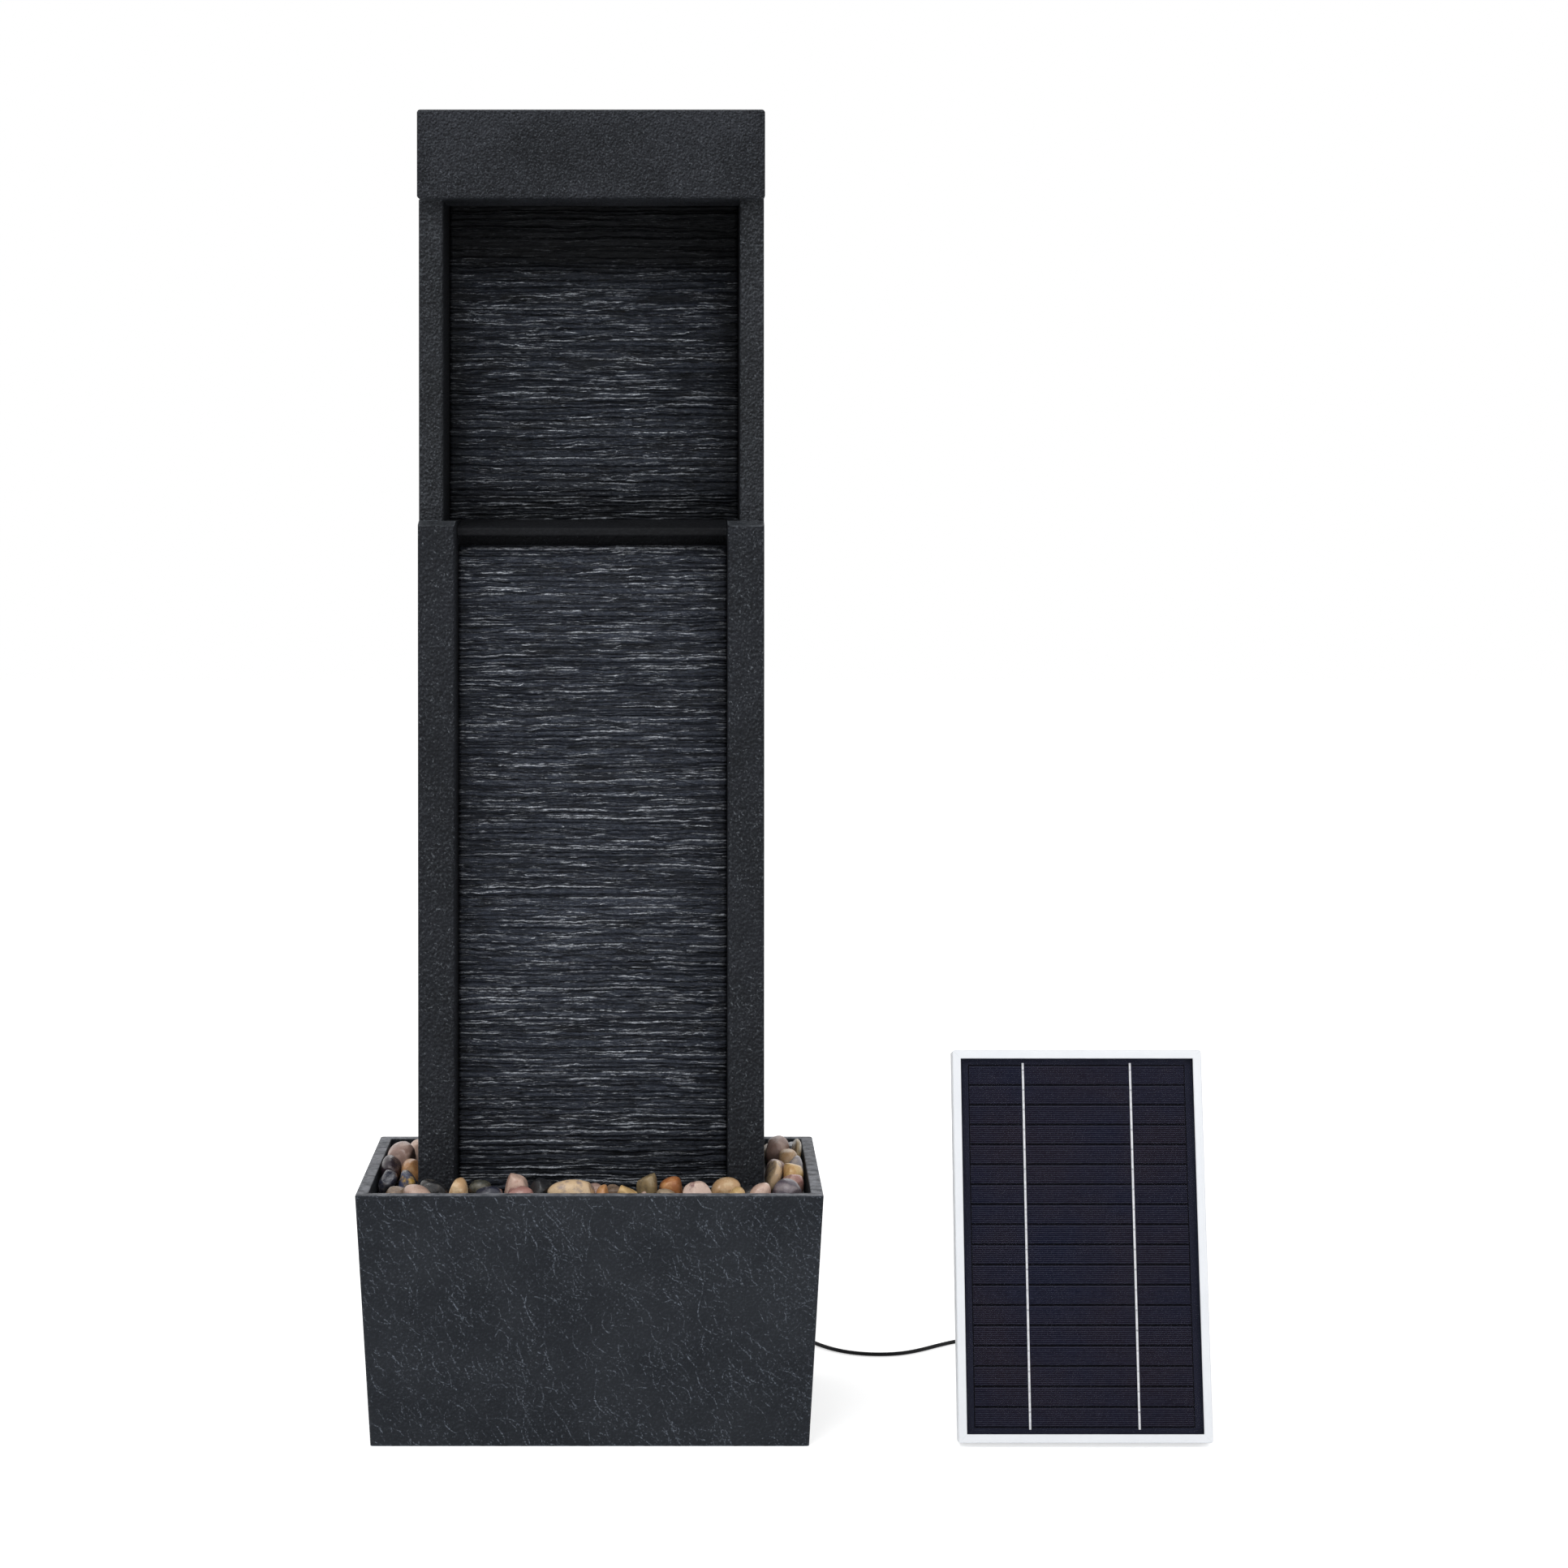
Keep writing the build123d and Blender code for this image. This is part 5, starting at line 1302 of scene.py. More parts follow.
def ripple(
    rng: np.random.Generator,
    across: np.ndarray,
    up: np.ndarray,
    wide: float,
    tall: float,
) -> np.ndarray:
    """Smooth seeded noise over a flat region.

    Args:
        rng: The random source.
        across: Places across, in millimetres.
        up: Places up, in millimetres.
        wide: Size of its swells across.
        tall: Size of its swells upward.

    Returns:
        Noise from -1 to 1 at each place.
    """
    columns = (across - across.min()) / wide
    rows = (up - up.min()) / tall
    lattice = rng.uniform(-1.0, 1.0, (int(rows.max()) + 3, int(columns.max()) + 3))
    column = columns.astype(int)
    row = rows.astype(int)
    right = ease(columns - column)
    high = ease(rows - row)
    low_row = lattice[row, column] * (1 - right) + lattice[row, column + 1] * right
    high_row = lattice[row + 1, column] * (1 - right) + lattice[row + 1, column + 1] * right
    return low_row * (1 - high) + high_row * high


def layer_noise(
    rng: np.random.Generator,
    layer: np.ndarray,
    across: np.ndarray,
    wide: float,
) -> np.ndarray:
    """Smooth seeded noise along each slate layer, separate from its neighbours.

    Args:
        rng: The random source.
        layer: The layer's number at each place.
        across: Places across, in millimetres.
        wide: Size of its swells across.

    Returns:
        Noise from -1 to 1 at each place.
    """
    columns = (across - across.min()) / wide
    lattice = rng.uniform(-1.0, 1.0, (int(layer.max()) + 1, int(columns.max()) + 3))
    shifted = columns + rng.uniform(0.0, 1.0, int(layer.max()) + 1)[layer]
    lattice = np.concatenate([lattice, lattice[:, :2]], axis=1)
    column = shifted.astype(int)
    right = ease(shifted - column)
    return lattice[layer, column] * (1 - right) + lattice[layer, column + 1] * right


@dataclass
class SlatePanel:
    """One split-slate panel of the tower, whose front is thin broken layers, in millimetres."""

    node: str
    name: str
    finish: SlateFinish
    seed: int
    fine_from: float
    crest_share: float
    step_across: float = 2.5
    step_up: float = 0.43
    step_hidden: float = 3.0
    thin_layer: float = 1.6
    thick_layer: float = 7.0
    thin_bias: float = 1.7
    bends: tuple[Place, ...] = ((1.3, 66.0, 26.0), (0.6, 17.0, 7.0), (0.4, 4.6, 2.6))
    relief: float = 4.0
    proud: Span = (0.35, 0.85)
    swells: tuple[Span, ...] = ((0.34, 44.0), (0.2, 11.0))
    chip_run: float = 24.0
    chip_drop: float = 0.5
    foot_rise: float = 1.3
    top_rise: float = 0.9
    lean_back: float = 0.12
    lean_run: float = 5.0
    lip_rise: float = 0.25
    lip_wide: float = 0.5
    brush_run: float = 24.0
    brush_ripple: Span = (6.0, 4.0)
    patch_ripple: Span = (70.0, 40.0)
    groove_level: float = 0.3
    round_top: float = 3.0
    ragged_top: float = 0.0
    top_highlight_rise: float = 1.4
    top_highlight_ripple: Span = (9.0, 3.0)
    notch_ripple: Span = (7.0, 900.0)
    end_drop: float = 5.0
    end_run: float = 9.0
    # Painted shade: the header's shadow at the top, and shade at the foot and beside the posts
    header_shadow_reach: float = 0.0
    header_shadow_fade: float = 36.0
    foot_shade_reach: float = 60.0
    side_shade_reach: float = 10.0
    header_shadow_dark: float = 0.95
    foot_shade_dark: float = 0.62
    side_shade_dark: float = 0.75
    rim_groove: float = 0.6

    def build(self) -> bpy.types.Object:
        """Builds the panel's mesh in the place of its CAD node.

        Returns:
            The panel.
        """
        low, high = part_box(self.node)
        left, front, foot = (value / MM for value in low)
        right, back, top = (value / MM for value in high)
        columns = np.linspace(left, right, int((right - left) / self.step_across) + 1)
        hidden = np.arange(foot, self.fine_from, self.step_hidden)
        seen = np.linspace(self.fine_from, top, int((top - self.fine_from) / self.step_up) + 1)
        across, up = np.meshgrid(columns, np.concatenate([hidden, seen]))
        relief, crest, groove = self.layers(across, up)
        beside = np.minimum(across - left, right - across)
        rng = np.random.default_rng(self.seed + 1)
        notches = ripple(rng, across, up, *self.notch_ripple)
        ends = self.end_drop * ease(1.0 - beside / self.end_run)
        ragged = self.ragged_top * (1.0 + notches + ends)
        into_top = up - (top - self.round_top - ragged)
        rounding = ease(into_top / self.round_top)
        # Painted highlight in broken patches along the rounded top edge
        highlight_breaks = ease(0.8 + 0.6 * ripple(rng, across, up, *self.top_highlight_ripple))
        worn = ease(into_top / self.top_highlight_rise) * (1.0 - rounding**3) * highlight_breaks
        crest = np.maximum(crest, self.ragged_top * worn)
        depth = front + (1.0 - relief) * self.relief + rounding**2 * self.round_top * 0.8
        points, faces = self.closed(np.stack([across, depth, up], axis=-1), back)
        piece = new_piece(self.name, points * MM, faces, self.finish)
        rim = np.zeros(len(points) - up.size)
        # Painted shade; the hidden sides and back get it in full
        painted_shade = self.painted_shade_mask(up, top, beside, rounding)
        paint(piece, "crest", np.concatenate([crest.ravel(), rim]))
        paint(piece, "groove", np.concatenate([groove.ravel(), rim + self.rim_groove]))
        paint(piece, "painted_shade", np.concatenate([painted_shade.ravel(), rim + 1.0]))
        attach(piece, "fountain")
        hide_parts(self.node)
        log.info("%s has %d faces", self.name, len(faces))
        return piece

    @staticmethod
    def closed(front: np.ndarray, back: float) -> tuple[np.ndarray, list[tuple[int, ...]]]:
        """Closes a front grid with sides and a flat back.

        Args:
            front: Rows of the front's points.
            back: How far back the flat back lies.

        Returns:
            The points, the front's first and then the back rim's, and the faces.
        """
        tall, wide = front.shape[:2]
        points = front.reshape(-1, 3)
        index = np.arange(wide * tall).reshape(tall, wide)
        corners = (index[:-1, :-1], index[:-1, 1:], index[1:, 1:], index[1:, :-1])
        faces = [tuple(face) for face in np.stack(corners, axis=-1).reshape(-1, 4).tolist()]
        sides = (index[0, :-1], index[:-1, -1], index[-1, :0:-1], index[:0:-1, 0])
        rim = np.concatenate(sides).tolist()
        behind = points[rim].copy()
        behind[:, 1] = back
        first = len(points)
        count = len(rim)
        for place in range(count):
            following = (place + 1) % count
            faces.append((rim[following], rim[place], first + place, first + following))
        faces.append(tuple(first + place for place in range(count - 1, -1, -1)))
        return np.concatenate([points, behind]), faces

    def painted_shade_mask(
        self,
        up: np.ndarray,
        top: float,
        beside: np.ndarray,
        rounding: np.ndarray,
    ) -> np.ndarray:
        """Works out the painted shade that darkens the panel: at its foot, the header's shadow at its top,
        beside the posts and on its rounded top edge.

        Args:
            up: Places up, in millimetres.
            top: Height of the panel's top.
            beside: Distance of each place from the nearer side.
            rounding: How far each place is into the rounded top edge.

        Returns:
            The darkening from 0 to 1.
        """
        dark = self.foot_shade_dark * ease((self.fine_from + self.foot_shade_reach - up) / self.foot_shade_reach)
        if self.header_shadow_reach > 0.0:
            dark = np.maximum(dark, self.header_shadow_dark * ease((up - top + self.header_shadow_reach) / self.header_shadow_fade))
        # Painted shade on the rounded top edge
        dark = np.maximum(dark, rounding**3)
        return np.maximum(dark, self.side_shade_dark * ease(1.0 - beside / self.side_shade_reach))

    def layers(self, across: np.ndarray, up: np.ndarray) -> tuple[np.ndarray, np.ndarray, np.ndarray]:
        """Works out the panel's layers.

        Args:
            across: Places across, in millimetres.
            up: Places up, in millimetres.

        Returns:
            Relief, pale crests that are partly a painted highlight, and dark grooves that are partly
            painted shade, each from 0 to 1.
        """
        rng = np.random.default_rng(self.seed)
        bent = up
        for height, wide, tall in self.bends:
            bent = bent + height * ripple(rng, across, up, wide, tall)
        count = int((bent.max() - bent.min()) / self.thin_layer) + 2
        spread = self.thick_layer - self.thin_layer
        thickness = self.thin_layer + spread * rng.uniform(0.0, 1.0, count) ** self.thin_bias
        bounds = bent.min() - 0.01 + np.concatenate([[0.0], np.cumsum(thickness)])
        layer = np.searchsorted(bounds, bent) - 1
        from_foot = bent - bounds[layer]
        from_top = thickness[layer] - from_foot
        proud = rng.uniform(*self.proud, count)[layer]
        for height, wide in self.swells:
            proud = proud + height * layer_noise(rng, layer, across, wide)
        chipped = ease((layer_noise(rng, layer, across, self.chip_run) - 0.35) / 0.1)
        proud = np.clip(proud * (1.0 - self.chip_drop * chipped), 0.0, 1.0)
        lower_edge = 0.25 + 0.75 * ease(from_foot / self.foot_rise)
        upper_edge = 0.12 + 0.88 * ease(from_top / self.top_rise)
        profile = lower_edge * upper_edge * (1.0 - self.lean_back * ease(from_top / self.lean_run))
        relief = np.clip(proud * profile, 0.0, 1.0)
        lip = ease(from_top / self.lip_rise) * (1.0 - ease((from_top - self.lip_wide) / self.lip_wide))
        reach = layer_noise(rng, layer, across, self.brush_run)
        reach = reach + 0.2 * ripple(rng, across, up, *self.brush_ripple)
        brushed = ease(reach / 0.4 + 0.1)
        patch = 0.9 + 0.18 * ripple(rng, across, up, *self.patch_ripple)
        chosen = (rng.uniform(0.0, 1.0, count) < self.crest_share)[layer]
        # The pale crest lies on each layer's upper lip, partly as a painted highlight
        crest = np.clip(lip * brushed * patch * chosen * ease(proud / 0.4), 0.0, 1.0)
        # Darker where the relief sinks: partly painted shade in the creases
        groove = np.clip(1.0 - relief / self.groove_level, 0.0, 1.0) ** 0.8
        return relief, crest, groove


@dataclass
class SpillLedge:
    """The ledge that the water spills from, a thin sloping slab with a worn nose."""

    node: str = "spill_ledge"
    finish: Finish = LEDGE_STONE

    def dress(self) -> None:
        """Gives the ledge its finish."""
        dress(self.finish, self.node)


class Stone(Enum):
    """Kinds of pebble: the stone's colour, its second colour, the second's share, and stripes."""

    INK = (shade(33, 34, 37), shade(66, 66, 66), 0.25, 0.0)
    MOSS = (shade(56, 57, 50), shade(98, 94, 80), 0.45, 0.0)
    NIGHT = (shade(37, 39, 54), shade(92, 92, 100), 0.4, 0.0)
    PLUM = (shade(50, 39, 48), shade(76, 62, 70), 0.4, 0.0)
    INDIGO = (shade(44, 52, 80), shade(178, 142, 66), 0.35, 0.0)
    LILAC = (shade(84, 76, 86), shade(122, 112, 118), 0.5, 1.0)
    ASH = (shade(140, 134, 137), shade(168, 158, 152), 0.5, 0.0)
    SAND = (shade(190, 154, 114), shade(214, 186, 148), 0.45, 0.0)
    CREAM = (shade(206, 178, 142), shade(152, 133, 122), 0.4, 0.0)
    STRAW = (shade(210, 176, 122), shade(190, 148, 96), 0.45, 0.0)
    OLIVE = (shade(152, 132, 98), shade(128, 112, 84), 0.5, 0.0)
    DUN = (shade(166, 146, 122), shade(134, 116, 98), 0.4, 0.0)
    ORANGE = (shade(192, 138, 90), shade(208, 166, 120), 0.4, 0.0)
    RUST = (shade(170, 108, 64), shade(196, 142, 92), 0.4, 0.0)
    BROWN = (shade(122, 101, 84), shade(150, 126, 104), 0.4, 0.0)
    BLUSH = (shade(204, 174, 158), shade(178, 140, 126), 0.4, 0.0)
    WINE = (shade(204, 178, 164), shade(112, 64, 68), 0.32, 0.0)
    ROSE = (shade(166, 122, 114), shade(190, 154, 142), 0.45, 0.0)
    MAUVE = (shade(156, 128, 118), shade(182, 156, 144), 0.45, 0.0)


# What each stone's material reads from the mesh
STONE_PAINTS = ("stone", "vein", "share", "band")

# Where each kind lies in plan, in millimetres
STONE_PLACES: tuple[tuple[float, float, Stone], ...] = (
    (-143.0, -90.4, Stone.INK),
    (-122.9, -90.4, Stone.BLUSH),
    (-107.0, -90.4, Stone.INK),
    (-94.6, -90.4, Stone.SAND),
    (-72.2, -90.4, Stone.NIGHT),
    (-50.4, -90.4, Stone.ROSE),
    (-35.6, -90.4, Stone.INK),
    (-13.4, -90.4, Stone.CREAM),
    (9.4, -90.4, Stone.ORANGE),
    (26.6, -90.4, Stone.STRAW),
    (38.4, -91.9, Stone.BLUSH),
    (53.0, -90.4, Stone.DUN),
    (77.2, -90.4, Stone.WINE),
    (93.6, -90.4, Stone.DUN),
    (105.4, -90.4, Stone.STRAW),
    (121.2, -90.4, Stone.BLUSH),
    (140.8, -89.4, Stone.LILAC),
    (-139.6, -69.4, Stone.BROWN),
    (-113.0, -69.4, Stone.INK),
    (-95.4, -69.4, Stone.RUST),
    (-79.6, -69.4, Stone.MOSS),
    (-66.8, -69.4, Stone.ROSE),
    (-53.8, -69.4, Stone.BLUSH),
    (-35.8, -69.4, Stone.INK),
    (-18.0, -69.4, Stone.SAND),
    (0.6, -69.4, Stone.MAUVE),
    (16.4, -69.4, Stone.BROWN),
    (27.6, -69.4, Stone.INK),
    (40.6, -69.4, Stone.OLIVE),
    (58.0, -69.4, Stone.RUST),
    (76.6, -69.4, Stone.MOSS),
    (97.4, -69.4, Stone.SAND),
    (117.0, -69.4, Stone.INK),
    (-149.3, -34.0, Stone.NIGHT),
    (-134.0, -37.0, Stone.INDIGO),
    (-149.4, -1.0, Stone.PLUM),
    (-133.9, -4.0, Stone.ORANGE),
    (-144.4, 31.6, Stone.MAUVE),
    (-134.0, 60.2, Stone.BLUSH),
    (-149.4, 61.4, Stone.PLUM),
    (-142.4, 86.4, Stone.RUST),
    (146.0, -50.8, Stone.ROSE),
    (132.9, -27.0, Stone.CREAM),
    (147.4, -23.4, Stone.STRAW),
    (149.8, 1.6, Stone.ASH),
    (134.6, 5.0, Stone.MAUVE),
    (146.4, 26.4, Stone.SAND),
    (138.0, 52.8, Stone.MAUVE),
    (151.9, 53.0, Stone.OLIVE),
    (134.2, 82.6, Stone.DUN),
    (149.2, 83.0, Stone.NIGHT),
)


@dataclass
class PebbleBed:
    """The loose stones round the tower, one piece for each colour group."""

    groups: tuple[tuple[str, str], ...] = (
        ("pebbles_tan", "pebble_tan"),
        ("pebbles_rose", "pebble_rose"),
        ("pebbles_dark", "pebble_dark"),
        ("pebbles_amber", "pebble_amber"),
    )
    seed: int = 41
    roundness: int = 4
    squareness: Span = (0.78, 0.98)
    facets: int = 5
    facet_level: Span = (0.62, 0.9)
    facet_cut: float = 0.78
    facet_tilt: Place = (1.0, 1.0, 0.7)
    lumps: int = 7
    lump_wave: float = 1.7
    lump_share: Span = (0.25, 1.0)
    lump_height: float = 0.035
    full_turn: float = 6.28
    lean: float = 0.3
    narrow: float = 0.28
    tone: Span = (0.88, 1.1)
    stripe_way: Place = (0.35, 0.1, 0.93)
    ball: tuple[np.ndarray, np.ndarray] = field(init=False)

    def __post_init__(self) -> None:
        """Makes the ball that every stone is shaped from."""
        shape = bmesh.new()
        bmesh.ops.create_icosphere(shape, subdivisions=self.roundness, radius=1.0)
        points = np.array([vertex.co for vertex in shape.verts])
        faces = np.array([[vertex.index for vertex in face.verts] for face in shape.faces])
        shape.free()
        self.ball = (points, faces)

    @staticmethod
    def islands(node: str) -> list[tuple[np.ndarray, np.ndarray]]:
        """Boxes of the separate stones of a CAD node.

        Args:
            node: The node's name.

        Returns:
            Each stone's lowest and highest corner.
        """
        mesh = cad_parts[node].data
        points = np.zeros(len(mesh.vertices) * 3)
        mesh.vertices.foreach_get("co", points)
        points = points.reshape(-1, 3)
        edges = np.zeros(len(mesh.edges) * 2, np.int64)
        mesh.edges.foreach_get("vertices", edges)
        start, end = edges.reshape(-1, 2).T
        label = np.arange(len(points))
        while True:
            least = np.minimum(label[start], label[end])
            joined = label.copy()
            np.minimum.at(joined, start, least)
            np.minimum.at(joined, end, least)
            joined = joined[joined]
            if np.array_equal(joined, label):
                break
            label = joined
        boxes = []
        for kind in np.unique(label):
            stone = points[label == kind]
            boxes.append((stone.min(axis=0), stone.max(axis=0)))
        return boxes

    def shape(self, rng: np.random.Generator, low: np.ndarray, high: np.ndarray) -> np.ndarray:
        """Shapes one stone to fill its place.

        Args:
            rng: The random source.
            low: Lowest corner of its place.
            high: Highest corner of its place.

        Returns:
            The stone's vertices in metres.
        """
        points = self.ball[0].copy()
        power = rng.uniform(*self.squareness)
        points = np.sign(points) * np.abs(points) ** power
        for _ in range(self.facets):
            facing = rng.normal(size=3) * self.facet_tilt
            facing /= np.linalg.norm(facing)
            level = rng.uniform(*self.facet_level)
            over = np.maximum(points @ facing - level, 0.0)
            points -= np.outer(over * self.facet_cut, facing)
        swell = np.zeros(len(points))
        for _ in range(self.lumps):
            wave = rng.normal(size=3) * self.lump_wave
            height = rng.uniform(*self.lump_share)
            swell += height * np.sin(points @ wave + rng.uniform(0.0, self.full_turn))
        points *= (1.0 + self.lump_height * swell)[:, None]
        lean = rng.uniform(-self.lean, self.lean)
        points[:, 0] += lean * points[:, 2]
        narrow = rng.uniform(-self.narrow, self.narrow)
        points[:, 2] *= 1.0 + narrow * points[:, 0]
        span = points.max(axis=0) - points.min(axis=0)
        share = (points - points.min(axis=0)) / span
        return low + share * (high - low)

    def build(self) -> None:
        """Builds the stones of each colour group in the places of the CAD stones."""
        rng = np.random.default_rng(self.seed)
        plan = np.array([(x, y) for x, y, _ in STONE_PLACES]) * MM
        count = len(self.ball[0])
        for node, slot in self.groups:
            points = []
            faces = []
            paints: dict[str, list[np.ndarray]] = {name: [] for name in STONE_PAINTS}
            for low, high in self.islands(node):
                middle = (low + high) / 2
                nearest = int(np.argmin(np.linalg.norm(plan - middle[:2], axis=1)))
                base, second, share, striped = STONE_PLACES[nearest][2].value
                made = self.shape(rng, low, high)
                faces += (self.ball[1] + len(points) * count).tolist()
                points.append(made)
                tone = rng.uniform(*self.tone)
                toned = (tone, tone, tone, 1.0)
                paints["stone"].append(np.tile(np.array(base) * toned, (count, 1)))
                paints["vein"].append(np.tile(np.array(second) * toned, (count, 1)))
                paints["share"].append(np.full(count, share))
                across = (made - middle) @ np.array(self.stripe_way) / (high - low)[2]
                paints["band"].append(striped * (across + 1.0))
            piece = new_piece(f"{node}_stones", np.concatenate(points), faces, PEBBLE)
            for name, values in paints.items():
                paint(piece, name, np.concatenate(values))
            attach(piece, "fountain")
            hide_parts(node)
            log.info("%s has %d stones", piece.name, len(points))


@dataclass
class Tower:
    """The slate-effect tower: castings, header, slate panels, ledge and what is inside."""

    panels: tuple[SlatePanel, ...] = (
        SlatePanel(
            "lower_slate_panel",
            "lower_slate_face",
            LOWER_SLATE,
            seed=7,
            fine_from=150.0,
            crest_share=0.62,
            foot_shade_reach=110.0,
            ragged_top=0.75,
        ),
        SlatePanel(
            "upper_slate_panel",
            "upper_slate_face",
            UPPER_SLATE,
            seed=23,
            fine_from=659.0,
            crest_share=0.56,
            header_shadow_reach=82.0,
            side_shade_reach=26.0,
        ),
    )
    ledge: SpillLedge = field(default_factory=SpillLedge)

    def build(self) -> None:
        """Builds the slate panels."""
        for panel in self.panels:
            panel.build()

    def dress(self) -> None:
        """Dresses the tower's CAD nodes."""
        dress(TOWER_RESIN, "tower_upper_casting")
        dress(LOWER_RESIN, "tower_lower_casting", "rear_cover")
        dress(HEADER_RESIN, "header")
        self.ledge.dress()
        dress(BLACK_MOULDING, "head_trough", "hose_tail")
        dress(HOSE_CLEAR, "riser_hose")
        dress(STEEL, "cover_screws")


@dataclass
class Basin:
    """The basin with its pebble tray and grommet."""

    pebbles: PebbleBed = field(default_factory=PebbleBed)

    def build(self) -> None:
        """Builds the pebbles."""
        self.pebbles.build()

    def dress(self) -> None:
        """Dresses the basin's CAD nodes."""
        dress(BASIN_RESIN, "basin")
        dress(BLACK_MOULDING, "pebble_tray")
        dress(RUBBER, "lead_grommet")


@dataclass
class Pump:
    """The pump in the basin."""

    black: tuple[str, ...] = ("pump_housing", "pump_cover")

    def dress(self) -> None:
        """Dresses the pump's CAD nodes."""
        dress(PUMP_BLACK, *self.black)
        dress(DIAL_GREY, "flow_dial")
        dress(IMPELLER_WHITE, "pump_impeller")
        dress(STEEL, "pump_shaft")
        dress(RUBBER, "pump_feet")
        dress(LEAD_SHEATH, "pump_lead")


@dataclass
class SolarPanel:
    """The solar panel with its battery box and prop leg."""

    rails: tuple[str, ...] = ("frame_rail_top", "frame_rail_bottom", "frame_rail_left", "frame_rail_right")

    def dress(self) -> None:
        """Dresses the panel's CAD nodes."""
        dress(FRAME_WHITE, *self.rails)
        dress(KEY_GREY, "corner_keys", "hinge_lugs", "prop_leg")
        dress(PANEL_GLASS, "panel_glass")
        dress(CELL_NAVY, "cell_strips")
        dress(RIBBON_SILVER, "cell_ribbons")
        dress(SHEET_NAVY, "backing_sheet")
        dress(BOX_BLACK, "battery_box", "battery_box_lid")
        dress(RUBBER, "lid_gasket", "leg_foot_pads", "lead_gland")
        dress(STEEL, "lid_screws", "lug_rivets", "pivot_bolts")
        dress(BATTERY_WRAP, "battery_cells")
        dress(BOARD_GREEN, "control_board")
        dress(BUTTON_GREY, "power_button")
        dress(LENS_GREEN, "indicator_lens")
        dress(BLACK_MOULDING, "thumb_nuts")


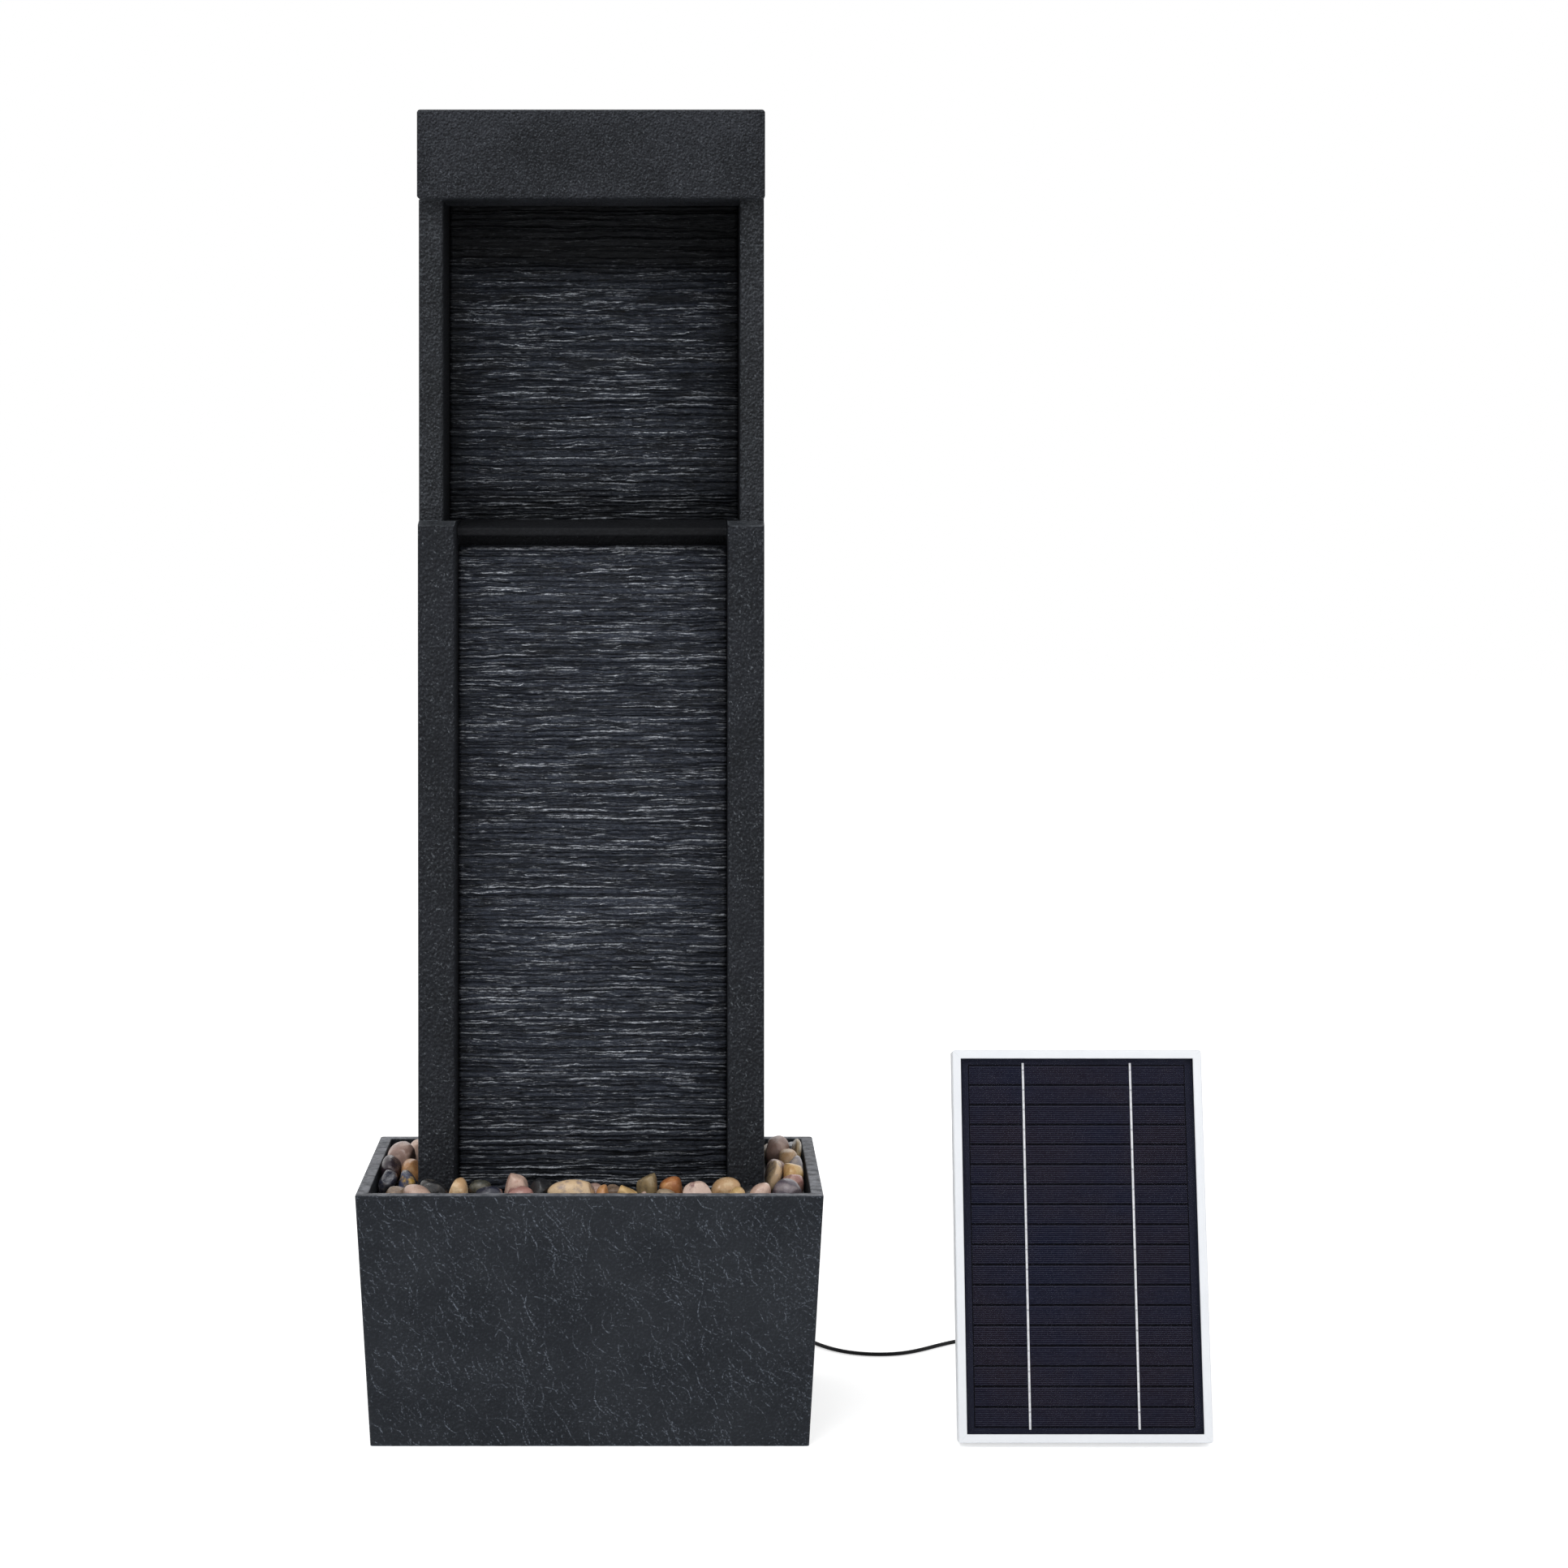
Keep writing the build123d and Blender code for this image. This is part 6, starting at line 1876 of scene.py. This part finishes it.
@dataclass
class Lead:
    """The low-voltage lead from the basin's grommet to the panel, its spare length coiled.

    The places and sizes are in millimetres, the whole length is in metres.
    """

    radius: float = 1.5
    coil_middle: Span = (105.0, 168.0)
    coil_pitch: float = 3.6
    coil_inner: float = 12.8
    turns_a_layer: int = 3
    coil_layers: int = 4
    coil_extra: float = 0.25
    coil_lift: float = 1.0
    climb_turns: float = 0.5
    points_a_turn: int = 14
    curve_order: int = 3
    curve_steps: int = 6
    round_steps: int = 5
    length: float = 2.13
    from_grommet: tuple[Place, ...] = (
        (70.0, 112.18, 129.86),
        (70.0, 121.17, 129.36),
        (69.8, 131.5, 123.0),
        (69.4, 137.5, 108.0),
        (69.8, 139.6, 84.0),
        (69.4, 140.2, 57.0),
        (70.4, 140.6, 34.0),
        (74.6, 141.6, 16.5),
        (84.0, 143.0, 6.0),
    )
    to_panel: tuple[Place, ...] = (
        (132.4, 195.0, 9.4),
        (139.0, 205.6, 4.4),
        (150.4, 210.6, 1.5),
        (162.2, 206.6, 1.5),
        (170.0, 195.4, 1.5),
        (177.0, 183.4, 1.5),
        (185.6, 172.0, 1.5),
        (196.2, 162.8, 1.5),
        (209.0, 157.0, 1.5),
        (224.0, 155.4, 1.5),
        (239.6, 159.0, 1.5),
        (254.4, 170.0, 1.5),
        (269.6, 185.4, 1.5),
        (285.0, 198.6, 1.5),
        (300.6, 206.8, 1.5),
        (316.6, 207.6, 1.5),
        (330.6, 200.2, 1.5),
        (340.4, 186.0, 1.5),
        (346.6, 167.6, 1.5),
        (350.4, 145.0, 1.5),
        (352.4, 120.0, 1.5),
        (353.2, 95.0, 1.5),
        (352.8, 71.0, 1.5),
        (352.4, 50.0, 2.6),
        (352.2, 31.0, 7.4),
        (352.3, 12.0, 15.4),
        (352.6, -8.0, 23.6),
        (352.9, -27.6, 32.2),
        (353.0, -45.0, 42.6),
        (353.0, -59.0, 55.6),
        (353.0, -69.4, 68.6),
        (353.0, -71.84, 80.36),
        (353.0, -69.33, 91.07),
    )

    def coil_point(self, turns: float) -> Vector:
        """A point of the coil.

        Args:
            turns: Turns from the coil's start.

        Returns:
            The point in millimetres.
        """
        angle = 2.0 * math.pi * turns - math.pi / 2.0
        layer = min(int(turns // self.turns_a_layer), self.coil_layers)
        into = turns - layer * self.turns_a_layer
        inward = into if layer % 2 == 0 else self.turns_a_layer - into
        radius = self.coil_inner + self.coil_pitch * (self.turns_a_layer - inward)
        height = self.radius + self.coil_lift
        for step in range(1, self.coil_layers):
            climbed = (turns - self.turns_a_layer * step) / self.climb_turns
            share = min(max(climbed + 0.5, 0.0), 1.0)
            height += self.coil_pitch * share * share * (3.0 - 2.0 * share)
        across = self.coil_middle[0] + radius * math.cos(angle)
        deep = self.coil_middle[1] + radius * math.sin(angle)
        return Vector((across, deep, height))

    def route(self) -> list[Vector]:
        """The lead's points from the grommet to the panel, in millimetres."""
        whole = self.turns_a_layer * self.coil_layers + self.coil_extra
        count = round(whole * self.points_a_turn)
        coil = [self.coil_point(whole * place / count) for place in range(count + 1)]
        return [*map(Vector, self.from_grommet), *coil, *map(Vector, self.to_panel)]

    def build(self) -> bpy.types.Object:
        """Builds the lead as one smooth curve.

        Returns:
            The lead.
        """
        points = self.route()
        curve = bpy.data.curves.new("lead", "CURVE")
        curve.dimensions = "3D"
        spline = curve.splines.new("NURBS")
        spline.points.add(len(points) - 1)
        for target, point in zip(spline.points, points):
            target.co = (*(point * MM), 1.0)
        spline.order_u = self.curve_order
        spline.use_endpoint_u = True
        spline.resolution_u = self.curve_steps
        curve.bevel_depth = self.radius * MM
        curve.bevel_resolution = self.round_steps
        curve.use_fill_caps = True
        curve.materials.append(LEAD_SHEATH.material())
        lead = bpy.data.objects.new("lead", curve)
        bpy.context.scene.collection.objects.link(lead)
        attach(lead, "fountain")
        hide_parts("lead_run_basin", "lead_coil", "lead_run_panel")
        dress(BLACK_MOULDING, "coil_tie")
        log.info("lead follows %d points", len(points))
        return lead


@dataclass(frozen=True)
class Lamp:
    """A soft square light, in metres and watts."""

    name: str
    stand: Place
    aim: Place
    side: float
    watts: float

    def hang(self) -> None:
        """Hangs the light where it stands, turned to the point that it faces."""
        data = bpy.data.lights.new(self.name, "AREA")
        data.shape = "SQUARE"
        data.size = self.side
        data.energy = self.watts
        lamp = bpy.data.objects.new(self.name, data)
        lamp.location = self.stand
        way = Vector(self.aim) - Vector(self.stand)
        lamp.rotation_euler = way.to_track_quat("-Z", "Y").to_euler()
        bpy.context.scene.collection.objects.link(lamp)


@dataclass
class Studio:
    """Pale floor, soft lights and the camera, in metres, radians and the picture's pixels."""

    focal_pixels: float = 4430.0
    middle_across: float = 834.9
    middle_down: float = 612.6
    stand: Place = (0.0626782, -2.6586431, 0.6993232)
    tilt: float = 0.009
    sensor: float = 36.0
    floor_half: float = 9.0
    floor_drop: float = 0.0002
    floor_tone: Colour = (0.9, 0.9, 0.9, 1.0)
    floor_roughness: float = 0.9
    floor_glow: float = 0.55
    sky: float = 0.56
    lamps: tuple[Lamp, ...] = (
        Lamp("key_light", (-0.9, -2.0, 3.2), (0.1, 0.0, 0.5), side=1.8, watts=50.0),
        Lamp("fill_light", (1.8, -2.9, 1.4), (0.1, 0.0, 0.4), side=2.0, watts=18.0),
        Lamp("back_light", (0.6, 2.6, 2.2), (0.1, 0.0, 0.4), side=2.0, watts=16.0),
    )

    def build(self) -> None:
        """Sets the camera, the floor, the sky and the lights."""
        self.camera()
        self.floor()
        self.world()
        for lamp in self.lamps:
            lamp.hang()
        bpy.context.scene.view_settings.view_transform = "Standard"

    def camera(self) -> None:
        """Sets the camera at the picture's viewpoint."""
        data = bpy.data.cameras.new("camera")
        data.sensor_width = self.sensor
        data.lens = self.focal_pixels / PICTURE_SIDE * self.sensor
        data.shift_x = (PICTURE_SIDE / 2 - self.middle_across) / PICTURE_SIDE
        data.shift_y = -(PICTURE_SIDE / 2 - self.middle_down) / PICTURE_SIDE
        camera = bpy.data.objects.new("camera", data)
        camera.location = self.stand
        camera.rotation_euler = (math.pi / 2 - self.tilt, 0.0, 0.0)
        bpy.context.scene.collection.objects.link(camera)
        bpy.context.scene.camera = camera

    @staticmethod
    def seen_directly(wiring: Wiring) -> Socket:
        """One for camera, glossy and transmission rays, and zero for the rest."""
        path = wiring.node("ShaderNodeLightPath").outputs
        seen = wiring.math("MAXIMUM", path["Is Camera Ray"], path["Is Glossy Ray"])
        return wiring.math("MAXIMUM", seen, path["Is Transmission Ray"])

    def floor(self) -> None:
        """Lays the pale floor."""
        half = self.floor_half
        plan = ((-half, -half), (half, -half), (half, half), (-half, half))
        corners = [(across, deep, -self.floor_drop) for across, deep in plan]
        mesh = bpy.data.meshes.new("floor")
        mesh.from_pydata(corners, [], [(0, 1, 2, 3)])
        material = bpy.data.materials.new("pale_floor")
        material.use_nodes = True
        wiring = Wiring(material.node_tree)
        shader = material.node_tree.nodes["Principled BSDF"]
        shader.inputs["Base Color"].default_value = self.floor_tone
        shader.inputs["Roughness"].default_value = self.floor_roughness
        shader.inputs["Specular IOR Level"].default_value = 0.0
        shader.inputs["Emission Color"].default_value = WHITE
        glow = wiring.math("MULTIPLY", self.seen_directly(wiring), self.floor_glow)
        wiring.feed(shader.inputs["Emission Strength"], glow)
        mesh.materials.append(material)
        floor = bpy.data.objects.new("floor", mesh)
        bpy.context.scene.collection.objects.link(floor)

    def world(self) -> None:
        """Sets an even sky that the camera sees as white."""
        world = bpy.data.worlds.new("studio")
        bpy.context.scene.world = world
        world.use_nodes = True
        wiring = Wiring(world.node_tree)
        sky = world.node_tree.nodes["Background"]
        sky.inputs["Color"].default_value = WHITE
        seen = self.seen_directly(wiring)
        wiring.feed(sky.inputs["Strength"], wiring.math("MULTIPLY_ADD", seen, 1.0 - self.sky, self.sky))


def main() -> None:
    """Builds and dresses the fountain."""
    logging.basicConfig(level=logging.INFO, format="%(message)s")
    Studio().build()
    Lead().build()
    tower = Tower()
    tower.build()
    tower.dress()
    basin = Basin()
    basin.build()
    basin.dress()
    Pump().dress()
    SolarPanel().dress()


if __name__ == "__main__":
    main()
